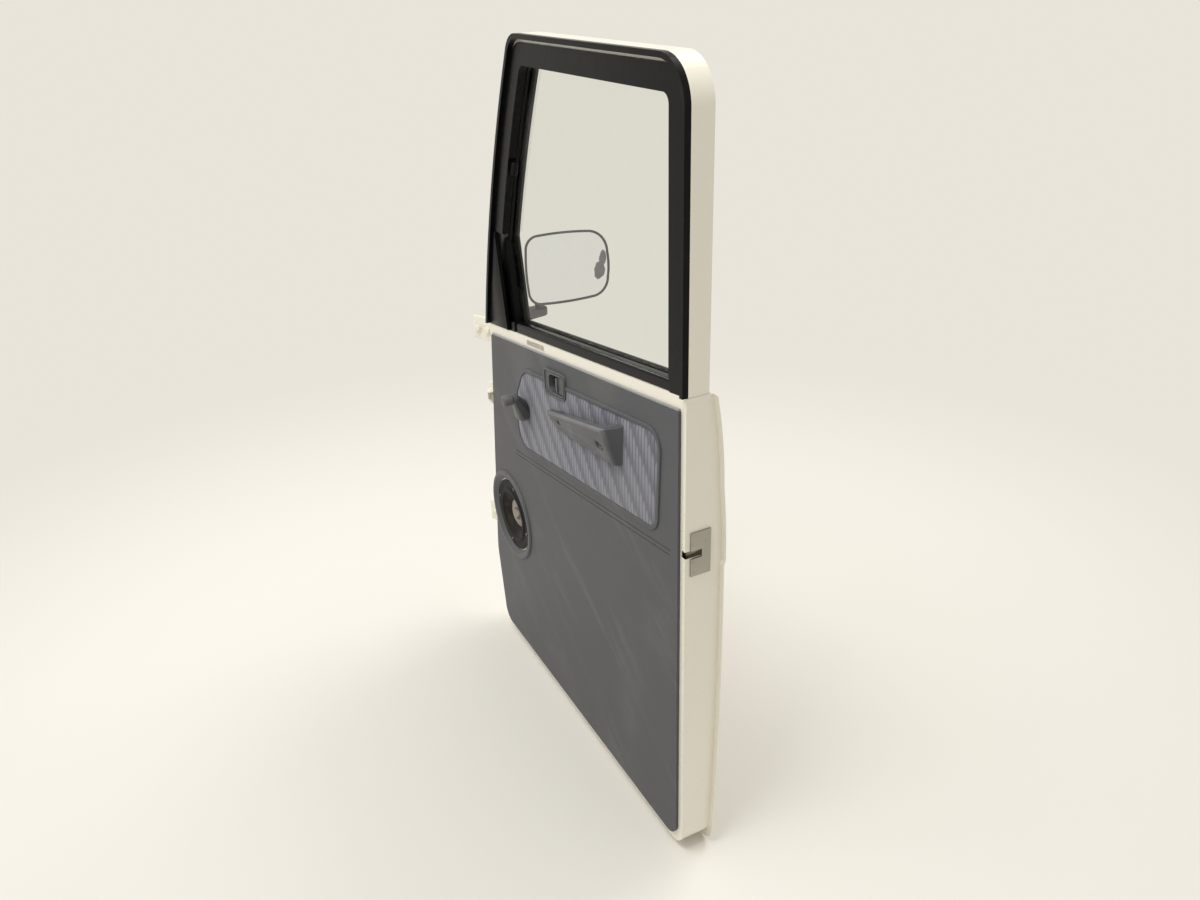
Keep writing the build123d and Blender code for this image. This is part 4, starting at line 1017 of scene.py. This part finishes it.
@dataclass(frozen=True)
class HexagonBolt:
    """Hexagon bolt's head on its washer, whose radii are shares of the size across flats."""

    across: float = 13.0
    height: float = 5.5
    washer: float = 1.6
    washer_shares: Pair = (0.68, 0.66)
    edge: float = 0.5

    def add(self, form: Form, at: Vector, out: Vector) -> None:
        """Add the bolt to a form, at a point and along a direction."""
        place = Matrix.Translation(at) @ out.to_track_quat("Z", "Y").to_matrix().to_4x4()
        radii = (self.across * share for share in self.washer_shares)
        corner = self.across / math.sqrt(3)
        top = place @ Matrix.Translation((0, 0, self.washer))
        rods = (form.rod(place, self.washer, *radii), form.rod(top, self.height, corner, corner, 6))
        for verts in rods:
            rims = {e: None for v in verts for e in v.link_edges if e.calc_face_angle(0.0) > 1.0}
            form.bevel(rims, self.edge, 2)


@dataclass(frozen=True)
class CrossScrew:
    """Pan-head screw with a crossed recess, on a face that looks at the cab.

    The head's taper and the recess's half width and reach are shares of its radius, and the
    recess's depth is a share of its height.
    """

    radius: float
    height: float
    taper: float = 0.86
    slot: float = 0.13
    reach: float = 0.52
    sunk: float = 0.6

    def add(self, form: Form, at: Point) -> None:
        """Add the screw to a form, standing on a point."""
        head = Form()
        head.rod(Matrix.Identity(4), self.height, self.radius, self.radius * self.taper, 28)
        slot, reach = self.radius * self.slot, self.radius * self.reach
        for normal in (Vector((1, 0, 0)), Vector((0, 1, 0))):
            for offset in (-reach, -slot, slot, reach):
                top = self._top(head)
                edges, verts = {e for f in top for e in f.edges}, {v for f in top for v in f.verts}
                bmesh.ops.bisect_plane(
                    head.mesh, geom=[*top, *edges, *verts], plane_co=normal * offset,
                    plane_no=normal, dist=ON_PLANE,
                )
        cross = []
        for face in self._top(head):
            near, far = sorted(abs(part) for part in face.calc_center_median()[:2])
            if near < slot and far < reach:
                cross.append(face)
        head.push(cross, (0, 0, -self.height * self.sunk))
        head.move(Matrix.Translation(at) @ FACE_CAB)
        form.take(head)

    @staticmethod
    def _top(head: Form) -> list[bmesh.types.BMFace]:
        """Faces that look straight up."""
        return [f for f in head.mesh.faces if f.normal.z > 0.9]


# Sub-assemblies


@dataclass
class CarriedNodes:
    """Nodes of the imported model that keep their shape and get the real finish."""

    nodes: dict[str, bpy.types.Object]
    slots: dict[str, str]

    def dress(self) -> None:
        """Put a material on each node."""
        for name, node in self.nodes.items():
            material = self._material(name, Slot(self.slots[name]))
            for place in node.material_slots:
                place.material = material
            LOG.info("dressed %s as %s", name, material.name)

    @staticmethod
    def _material(name: str, slot: Slot) -> bpy.types.Material:
        """Material of a node's slot, or its own where the photograph shows more."""
        if name == "inner_panel":
            return dressed("paint_cream_sill", Paint(Tape()))
        if name == "belt_strip_inner":
            return dressed("rubber_black_strip", rubber("#08080a", 0.16, 0.12))
        if name.startswith("frame_") and slot is Slot.PAINT:
            return dressed("paint_cream_frame", Paint(Reveal()))
        return of_slot(slot)


@dataclass
class ClothPanel:
    """Padded cloth insert, crowned a little between its tucked edges."""

    nodes: dict[str, bpy.types.Object]
    spacing: float = 12.0
    span_x: Pair = (115.0, 670.0)
    span_z: Pair = (-200.0, 52.0)
    crown: float = 1.6
    tuck: float = 7.0
    spread: float = 0.9

    def build(self) -> None:
        """Cut the insert's solid into a grid, crown its face and give it its UV map."""
        form = Form.copy_of(self.nodes["fabric_insert"], 1.0)
        self._slice(form, (1, 0, 0), *self.span_x)
        self._slice(form, (0, 0, 1), *self.span_z)
        self._crown(form)
        self._cut_map(form)
        piece = form.finish("cloth_panel", Body.DOOR, Slot.CLOTH, 50.0, node="fabric_insert")

    def _slice(self, form: Form, normal: Point, low: float, high: float) -> None:
        """Cut the mesh by evenly spaced planes."""
        count = int((high - low) / self.spacing)
        for step in range(1, count + 1):
            at = Vector(normal) * (low + step * self.spacing)
            geom = [*form.mesh.verts, *form.mesh.edges, *form.mesh.faces]
            bmesh.ops.bisect_plane(
                form.mesh, geom=geom, plane_co=at, plane_no=normal, dist=ON_PLANE
            )

    def _crown(self, form: Form) -> None:
        """Raise the face's inner points by how far they lie from its rim, and widen the walls."""
        front = min(v.co.y for v in form.mesh.verts)
        face = [v for v in form.mesh.verts if v.co.y < front + SAME_PLACE]
        rim = [
            v.co.copy() for v in face
            if any(abs(e.other_vert(v).co.y - v.co.y) > 1 for e in v.link_edges)
        ]
        for vert in face:
            reach = min((vert.co - point).length for point in rim)
            vert.co.y -= self.crown * math.sin(min(reach / self.tuck, 1.0) * math.pi / 2)
        form.mesh.normal_update()
        outward: dict[bmesh.types.BMVert, Vector] = {}
        for wall in (f for f in form.mesh.faces if abs(f.normal.y) < 0.5):
            for vert in wall.verts:
                outward[vert] = outward.get(vert, Vector()) + wall.normal
        for vert, normal in outward.items():
            vert.co += Vector((normal.x, 0, normal.z)).normalized() * self.spread

    @staticmethod
    def _cut_map(form: Form) -> None:
        """Lay the cloth's own map flat along the panel, in metres."""
        layer = form.mesh.loops.layers.uv.new("cut")
        for face in form.mesh.faces:
            for loop in face.loops:
                loop[layer].uv = (loop.vert.co.x * MM, loop.vert.co.z * MM)


@dataclass
class SoftenedNodes:
    """Copies of moulded and pressed nodes whose sharp edges are rounded as real ones are.

    A dimple's wall sinks by a share of its depth as its outline shrinks to its floor.
    """

    nodes: dict[str, bpy.types.Object]
    slots: dict[str, str]
    widths: dict[str, float] = field(
        default_factory=lambda: {
            "armrest": 1.2, "handle_escutcheon": 0.5, "handle_lever": 0.7, "sail_trim": 0.8,
            "hinge_upper_door_leaf": 1.0, "hinge_lower_door_leaf": 1.0,
            "hinge_upper_pillar_leaf": 1.0, "hinge_lower_pillar_leaf": 1.0,
            "check_bracket": 0.8, "latch": 0.6,
        }
    )
    dimple_depth: float = 4.9
    dimple_sizes: tuple[float, ...] = (1.0, 0.94, 0.88, 0.82, 0.76, 0.70, 0.64, 0.58)

    def build(self) -> None:
        """Copy each node, round it and let it stand for the node."""
        for name, width in self.widths.items():
            form = Form.copy_of(self.nodes[name], 0.6)
            material = None
            if name == "armrest":
                self._sink_dimples(form)
                # The armrest's lighter ridge and edges are rubbing and painted highlight.
                finish = Moulded("#3c3e45", "#7b7b7a", ARMREST_LINES)
                material = dressed("moulded_grey_armrest", finish)
            form.soften(width, 32.0, 2)
            body = Body.PILLAR if "pillar" in name or name == "check_bracket" else Body.DOOR
            slot = Slot(self.slots[name])
            form.finish(f"{name}_rounded", body, slot, 38.0, node=name, material=material)

    def _sunk(self, size: float) -> float:
        """Share of a dimple's depth at which its outline has shrunk to a size."""
        last = self.dimple_sizes[-1]
        return (1 + math.cos(math.pi * (size - last) / (1 - last))) / 2

    def _sink_dimples(self, form: Form) -> None:
        """Give the armrest's two screw dimples a soft mouth above their flat floor."""
        for x, z, reach, _, _ in DIMPLES:
            inner = [
                f for f in form.mesh.faces
                if all(math.hypot(v.co.x - x, v.co.z - z) < reach for v in f.verts)
            ]
            seen = {v: None for f in inner for v in f.verts}
            ring = [v for v in seen if any(g not in inner for g in v.link_faces)]
            bmesh.ops.delete(form.mesh, geom=inner, context="FACES")
            floor = bmesh.ops.contextual_create(form.mesh, geom=ring)["faces"][0]
            floor.normal_update()
            inward = floor.normal * math.copysign(self.dimple_depth, floor.normal.y)
            centre = floor.calc_center_median()
            for size, after in zip(self.dimple_sizes, self.dimple_sizes[1:]):
                by = inward * (self._sunk(after) - self._sunk(size))
                moved = form.push([floor], by)
                centre += by
                space = Matrix.Translation(-centre)
                bmesh.ops.scale(form.mesh, vec=[after / size] * 3, space=space, verts=moved)
                floor = next(f for f in moved[0].link_faces if all(v in moved for v in f.verts))
        bmesh.ops.recalc_face_normals(form.mesh, faces=form.mesh.faces)


@dataclass
class MirrorHead:
    """Mirror's shell with its rolled rim, bowed sides and uneven corners, and its glass.

    Corners are Y, Z and radius. The back is the shell's size at each X behind the mouth. The
    boss is the stub below that stands on the foot's neck.
    """

    face_x: float = 62.0
    rim: float = 5.2
    rim_round: float = 1.1
    recess: float = 2.6
    recess_inset: float = 0.3
    bow: float = 2.2
    long_side: float = 40.0
    corners: tuple[Point, ...] = (
        (62.0, 63.0, 30.0), (246.0, 57.0, 40.0), (245.0, 198.0, 48.0), (60.0, 208.0, 30.0),
    )
    back: tuple[Pair, ...] = (
        (54.0, 0.966), (42.0, 0.905), (30.0, 0.840), (20.0, 0.765), (12.0, 0.660), (8.0, 0.520),
    )
    boss_radii: Pair = (9.5, 11.4)
    boss_z: Pair = (60.8, 84.0)
    pane_size: float = 0.944
    pane_thick: float = 1.6
    pane_off: float = 1.2

    def build(self) -> None:
        """Make the shell and the glass."""
        shell = Form()
        face = self._outline(shell)
        centre = face.calc_center_median()
        depth, spread = self.face_x, 1.0
        for x, size in self.back:
            moved = shell.push([face], (x - depth, 0, 0))
            self._size(moved, centre, size / spread)
            face = self._across(shell, x)
            depth, spread = x, size
        self._recess(shell)
        low, high = self.boss_z
        shell.rod(Matrix.Translation((*MIRROR_PIVOT, low)), high - low, *self.boss_radii)
        shell.finish(
            "mirror_shell", Body.MIRROR, Slot.MIRROR_BLACK, 50.0, node="mirror_housing"
        )
        pane = Form()
        bmesh.ops.inset_region(pane.mesh, faces=[self._outline(pane)], thickness=0.1)
        self._size(pane.mesh.verts, centre, self.pane_size)
        pane.push(pane.mesh.faces, (-self.pane_thick, 0, 0))
        pane.move(Matrix.Translation((self.pane_off - self.recess, 0, 0)))
        pane.finish("mirror_pane", Body.MIRROR, Slot.SILVER, node="mirror_glass")

    def _outline(self, form: Form) -> bmesh.types.BMFace:
        """Face across the mouth, with each corner rounded by its own radius and sides bowed."""
        form.outline([(self.face_x, y, z) for y, z, _ in self.corners])
        for vert, (_, _, radius) in zip(list(form.mesh.verts), self.corners):
            form.bevel([vert], radius, 10, affect="VERTICES")
        long_sides = [e for e in form.mesh.edges if e.calc_length() > self.long_side]
        middle = sum((v.co for v in form.mesh.verts), Vector()) / len(form.mesh.verts)
        for edge in long_sides:
            first, last = (v.co.copy() for v in edge.verts)
            made = bmesh.ops.subdivide_edges(form.mesh, edges=[edge], cuts=7)["geom_inner"]
            centre, half = (first + last) / 2, (last - first).length / 2
            out = (centre - middle).normalized()
            for vert in (item for item in made if isinstance(item, bmesh.types.BMVert)):
                share = (vert.co - centre).length / half
                vert.co += out * self.bow * (1 - share**2)
        return form.mesh.faces[:][0]

    @staticmethod
    def _size(verts: Iterable[bmesh.types.BMVert], centre: Vector, size: float) -> None:
        """Draw points in towards the middle."""
        for vert in verts:
            vert.co.y = centre.y + (vert.co.y - centre.y) * size
            vert.co.z = centre.z + (vert.co.z - centre.z) * size

    @staticmethod
    def _across(form: Form, x: float) -> bmesh.types.BMFace:
        """Face that lies across the form at one depth."""
        return next(
            f for f in form.mesh.faces if all(abs(v.co.x - x) < SAME_PLACE for v in f.verts)
        )

    def _recess(self, form: Form) -> None:
        """Sink the mouth inside its rim and round the rim."""
        face = self._across(form, self.face_x)
        bmesh.ops.inset_region(form.mesh, faces=[face], thickness=self.rim)
        rim = [
            e for e in form.mesh.edges
            if all(abs(v.co.x - self.face_x) < SAME_PLACE for v in e.verts)
        ]
        bmesh.ops.inset_region(
            form.mesh, faces=[face], thickness=self.recess_inset, depth=-self.recess
        )
        outer = [e for e in rim if e.is_valid and e.is_manifold and e.calc_face_angle(0.0) > 1.0]
        form.bevel(outer, self.rim_round, 3)


@dataclass
class MirrorFoot:
    """Plate outside the window's front corner, and the arm that the mirror turns on."""

    plate: tuple[Pair, ...] = ((-14.0, 20.4), (90.0, 36.0), (61.0, 224.0), (44.5, 224.0))
    plate_y: Pair = (43.0, 53.0)
    plate_round: float = 2.0
    arm: tuple[Point, Point] = ((*MIRROR_PIVOT, 16.0), (MIRROR_PIVOT[0] + 3, 56.0, 20.0))
    arm_z: Pair = (38.0, 53.6)
    arm_round: float = 2.4
    neck_z: Pair = (51.6, 60.4)
    neck_radius: float = 8.5

    def build(self) -> None:
        """Make the plate, the arm and the neck as one moulding."""
        form = Form()
        form.prism(self.plate, self.plate_y, self.plate_round)
        arm = Form()
        for x, y, radius in self.arm:
            for z in self.arm_z:
                arm.ring(Matrix.Translation((x, y, z)), radius)
        arm.hull()
        arm.soften(self.arm_round, 40.0)
        form.take(arm)
        low, high = self.neck_z
        neck = Matrix.Translation((*MIRROR_PIVOT, low))
        form.rod(neck, high - low, self.neck_radius, self.neck_radius)
        form.finish("mirror_foot", Body.DOOR, Slot.MIRROR_BLACK, node="mirror_base")


@dataclass
class Crank:
    """Window crank: a domed boss whose arm leans out in a wedge to the knob.

    Boss and arm's end are rings of Y and radius, and the grip is a profile of radius and Y.
    """

    centre: Pair = (163.0, -107.0)
    knob: Pair = (190.63, -64.24)
    boss: tuple[Pair, ...] = ((-0.8, 20.0), (-14.0, 20.0), (-19.5, 17.5), (-22.8, 12.5))
    end: tuple[Pair, ...] = ((-32.0, 10.0), (-38.6, 10.0), (-39.8, 8.8))
    edge: float = 1.0
    grip: tuple[Pair, ...] = (
        (0.0, -39.6), (8.0, -39.6), (8.5, -42.0), (10.5, -42.4),
        (10.5, -57.4), (9.3, -59.2), (7.3, -59.8), (0.0, -59.2),
    )

    def build(self) -> None:
        """Make the arm and the knob."""
        arm = Form()
        for (x, z), rings in ((self.centre, self.boss), (self.knob, self.end)):
            for y, radius in rings:
                arm.ring(Matrix.Translation((x, y, z)) @ FACE_CAB, radius)
        arm.hull()
        arm.soften(self.edge, 34.0, 2)
        arm.finish("crank_arm", Body.DOOR, Slot.MOULDED, 42.0, node="window_crank")
        knob = Form()
        knob.turn(list(self.grip), *self.knob, 48)
        knob.finish("crank_grip", Body.DOOR, Slot.MOULDED, 40.0, node="crank_knob")


@dataclass
class SpeakerFace:
    """Speaker's flange, rolled surround, paper cone and dented dust cap, inside the bezel.

    The cone is a profile of radius and Y. The cap is given by its radius, the Y of its front,
    how far its dome falls back and the Y of its foot, and the dent by where it is, its reach
    and its depth.
    """

    cone: tuple[Pair, ...] = (
        (80.0, 3.4), (80.0, 1.8), (63.5, 1.8), (62.0, 0.2), (59.5, -1.0), (56.5, -1.4),
        (53.5, -0.8), (51.5, 0.8), (50.5, 2.6), (31.0, 12.6), (31.0, 14.0), (52.0, 3.4),
    )
    cap: Quad = (30.6, 5.2, 7.8, 14.0)
    cap_steps: int = 12
    dent: Quad = (9.0, 8.0, 15.0, 5.0)

    def build(self) -> None:
        """Make the cone with its flange, and the cap."""
        cone = Form()
        cone.turn(list(self.cone), *SPEAKER_AT)
        cone.finish("speaker_paper", Body.DOOR, Slot.CONE, 40.0, node="speaker_cone")
        cap = Form()
        rim, front, fall, foot = self.cap
        shares = [step / self.cap_steps for step in range(self.cap_steps + 1)]
        dome = [(rim * share, front + fall * share**2) for share in shares]
        cap.turn([*dome, (rim, foot), (0, foot)], *SPEAKER_AT)
        right, up, reach, deep = self.dent
        for vert in cap.mesh.verts:
            off = math.hypot(vert.co.x - SPEAKER_AT[0] - right, vert.co.z - SPEAKER_AT[1] - up)
            if off < reach and vert.co.y < foot - 0.5:
                vert.co.y += deep * (1 - (off / reach) ** 2) ** 2
        cap.finish("speaker_dome", Body.DOOR, Slot.CAP, 50.0, node="speaker_cap")


@dataclass
class Screws:
    """Screws in the armrest's dimples and on the speaker's flange."""

    arm_height: float = 2.4
    flange: CrossScrew = CrossScrew(3.6, 1.8)
    flange_radius: float = 72.0
    flange_y: float = 1.8
    flange_degrees: tuple[int, ...] = (78, 168, 258, 348)

    def build(self) -> None:
        """Make both groups of screws."""
        arm = Form()
        for dimple in DIMPLES:
            screw = CrossScrew(dimple.screw, self.arm_height)
            screw.add(arm, (dimple.x, dimple.floor_y, dimple.z))
        arm.finish("armrest_screws", Body.DOOR, Slot.MOULDED)
        flange = Form()
        for degrees in self.flange_degrees:
            turn = math.radians(degrees)
            x = SPEAKER_AT[0] + self.flange_radius * math.cos(turn)
            z = SPEAKER_AT[1] + self.flange_radius * math.sin(turn)
            self.flange.add(flange, (x, self.flange_y, z))
        material = dressed("zinc_steel_dull", steel("#67635a", 0.6))
        flange.finish("speaker_screws", Body.DOOR, Slot.STEEL, material=material)


@dataclass
class WindowTrim:
    """Rib along the sail cover's rear edge, the belt rail's end clip and the glass run's stop.

    The rib's X is measured from a line that leans with the sail cover's rear edge.
    """

    rib_z: Pair = (36.5, 223.0)
    rib_y: Pair = (3.2, 0.2)
    rib_x: Pair = (-3.4, -0.4)
    rib_round: float = 1.2
    sail_edge: Pair = (94.0, 28.0)
    sail_lean: float = 0.16
    clip_x: Pair = (98.0, 118.0)
    clip_y: Pair = (5.6, 9.6)
    clip_above_belt: Pair = (22.6, 41.4)
    clip_lean: float = 3.0
    clip_round: float = 1.3
    stop_at: Point = (144.5, 16.0, 354.0)
    stop_size: Point = (13.0, 12.0, 27.0)
    stop_round: float = 3.6
    stop_lean: float = 22.8

    def build(self) -> None:
        """Make the rib, the clip and the stop."""
        edge_x, edge_z = self.sail_edge
        low, high = (edge_x - self.sail_lean * (z - edge_z) for z in self.rib_z)
        (bottom, top), (front, rear) = self.rib_z, self.rib_x
        corners = [
            (low + front, bottom), (low + rear, bottom), (high + rear, top), (high + front, top),
        ]
        rib = Form()
        rib.prism(corners, self.rib_y, self.rib_round)
        rib.finish("sail_rib", Body.DOOR, Slot.GARNISH)
        low, high = self.clip_above_belt
        front, rear = self.clip_x
        corners = ((front, low), (rear, low), (rear, high), (front + self.clip_lean, high))
        corners = [(x, x * BELT_SLOPE + above) for x, above in corners]
        clip = Form()
        clip.prism(corners, self.clip_y, self.clip_round)
        clip.finish("belt_clip", Body.DOOR, Slot.GARNISH)
        stop = Form()
        bmesh.ops.create_cube(stop.mesh, size=1.0)
        stop.move(Matrix.Diagonal((*self.stop_size, 1.0)))
        stop.soften(self.stop_round, 30.0, 4)
        lean = Matrix.Rotation(math.radians(self.stop_lean), 4, "Y")
        stop.move(Matrix.Translation(self.stop_at) @ lean)
        stop.finish("glass_stop", Body.DOOR, Slot.RUBBER)


@dataclass
class Fasteners:
    """Bolts of the hinges' pillar leaves, drawn about the pin as they lie with the door shut."""

    face_x: float = -11.0
    reaches: Pair = (28.0, 56.0)
    bolt: HexagonBolt = HexagonBolt()

    def build(self) -> None:
        """Make the bolts of each hinge."""
        shut = Matrix.Rotation(-OPEN_ANGLE, 4, "Z") @ Matrix.Scale(MM, 4)
        for name, drop in (("upper", 0.0), ("lower", LOWER_HINGE_DROP)):
            form = Form()
            for reach in self.reaches:
                self.bolt.add(form, Vector((self.face_x, -reach, 0)), Vector((1, 0, 0)))
            place = Matrix.Translation(PIN_AT - Vector((0, 0, drop))) @ shut
            form.finish(f"hinge_{name}_pillar_bolts", Body.PILLAR, Slot.PAINT, place=place)


class Lamp(NamedTuple):
    """Soft lamp: name, place, width, height and power."""

    name: str
    at: Point
    width: float
    height: float
    power: float


@dataclass
class Studio:
    """Floor, backdrop, lamps and the camera, which takes the photograph's side and height."""

    floor_z: float
    floor_size: float = 40.0
    floor_fade: Pair = (0.9, 2.6)
    wall: str = "#e8e4da"
    ambient: float = 0.62
    rays: tuple[str, ...] = ("Is Camera Ray", "Is Glossy Ray", "Is Transmission Ray")
    lamps: tuple[Lamp, ...] = (
        Lamp("key", (0.9, -1.1, 2.5), 1.1, 1.1, 38.0),
        Lamp("fill", (-1.2, -2.4, 1.6), 2.0, 2.0, 17.0),
        Lamp("side", (-2.1, -0.7, 1.3), 1.8, 0.16, 11.0),
        Lamp("back", (0.2, 2.2, 2.4), 1.6, 1.6, 34.0),
    )
    lamps_aim: Point = (0.45, 0.0, -0.1)
    aim: Point = (0.50, 0.02, -0.09)
    azimuth: float = 63.0
    elevation: float = 27.0
    distance: float = 1.80
    lens: float = 29.13
    roll: float = -2.0
    near: float = 0.01

    def build(self) -> None:
        """Make the stage, the light and the camera."""
        self._stage()
        self._world()
        for lamp in self.lamps:
            data = bpy.data.lights.new(lamp.name, "AREA")
            data.shape = "RECTANGLE"
            data.size, data.size_y, data.energy = lamp.width, lamp.height, lamp.power
            look = (Vector(self.lamps_aim) - Vector(lamp.at)).to_track_quat("-Z", "Y")
            self._hang(lamp.name, data, lamp.at, look)
        self._camera()

    @staticmethod
    def _hang(name: str, data: object, at: Iterable[float], look: object) -> bpy.types.Object:
        """Put a lamp or a camera at a place, turned by a quaternion."""
        item = placed(name, data)
        item.location = at
        item.rotation_mode = "QUATERNION"
        item.rotation_quaternion = look
        return item

    def _seen(self, bench: Bench) -> Wire:
        """1 for rays that come from the camera, straight or by way of gloss or glass."""
        camera, *others = (bench.add("ShaderNodeLightPath", output=name) for name in self.rays)
        for ray in others:
            camera = camera.most(ray)
        return camera

    def _stage(self) -> None:
        """Lay a wide pale floor that fades into the wall's colour."""
        grid = Form()
        bmesh.ops.create_grid(grid.mesh, x_segments=1, y_segments=1, size=self.floor_size)
        grid.move(Matrix.Translation((0, 0, self.floor_z)))
        floor = placed("floor", grid.data("floor"))
        bench = Bench(bpy.data.materials.new("floor"))
        x, y, _ = bench.axes()
        far = length(x - self.aim[0], y).rise(*self.floor_fade)
        cover = bench.add("ShaderNodeBsdfDiffuse", sockets={0: self.wall})
        glow = bench.add("ShaderNodeEmission", sockets={0: self.wall, 1: 1.0})
        sockets = {0: far * self._seen(bench), 1: cover, 2: glow}
        bench.show(bench.add("ShaderNodeMixShader", sockets=sockets))
        floor.data.materials.append(bench.owner)
        floor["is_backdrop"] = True

    def _world(self) -> None:
        """Light evenly from all round, and show a pale wall to rays that the camera sends."""
        world = bpy.data.worlds.new("studio")
        bpy.context.scene.world = world
        bench = Bench(world)
        light, wall = (
            bench.add("ShaderNodeBackground", sockets={"Color": colour, "Strength": strength})
            for colour, strength in (("#ffffff", self.ambient), (self.wall, 1.0))
        )
        sockets = {0: self._seen(bench), 1: light, 2: wall}
        bench.show(bench.add("ShaderNodeMixShader", sockets=sockets), "ShaderNodeOutputWorld")

    def _camera(self) -> None:
        """Look at the door from the photograph's side and height."""
        turn, lift = math.radians(self.azimuth), math.radians(self.elevation)
        flat = math.cos(lift)
        back = Vector((math.sin(turn) * flat, -math.cos(turn) * flat, math.sin(lift)))
        data = bpy.data.cameras.new("camera")
        data.lens = self.lens
        data.clip_start = self.near
        roll = Euler((0, 0, math.radians(self.roll))).to_quaternion()
        look = (-back).to_track_quat("-Z", "Y") @ roll
        at = Vector(self.aim) + back * self.distance
        bpy.context.scene.camera = self._hang("camera", data, at, look)


def main() -> None:
    """Build the stage, then the door's sub-assemblies in order."""
    logging.basicConfig(level=logging.INFO, format="%(name)s: %(message)s")
    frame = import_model()
    cad_low, cad_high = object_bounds()
    bpy.context.scene.view_settings.view_transform = "Standard"
    slots = {part["node"]: part["material_slot"] for part in frame["record"]["subparts"]}
    nodes = frame["nodes"]
    Studio(floor_z=cad_low[2] - 0.002).build()
    CarriedNodes(nodes, slots).dress()
    ClothPanel(nodes).build()
    SoftenedNodes(nodes, slots).build()
    for part in (MirrorHead, MirrorFoot, Crank, SpeakerFace, Screws, WindowTrim, Fasteners):
        part().build()


if __name__ == "__main__":
    main()
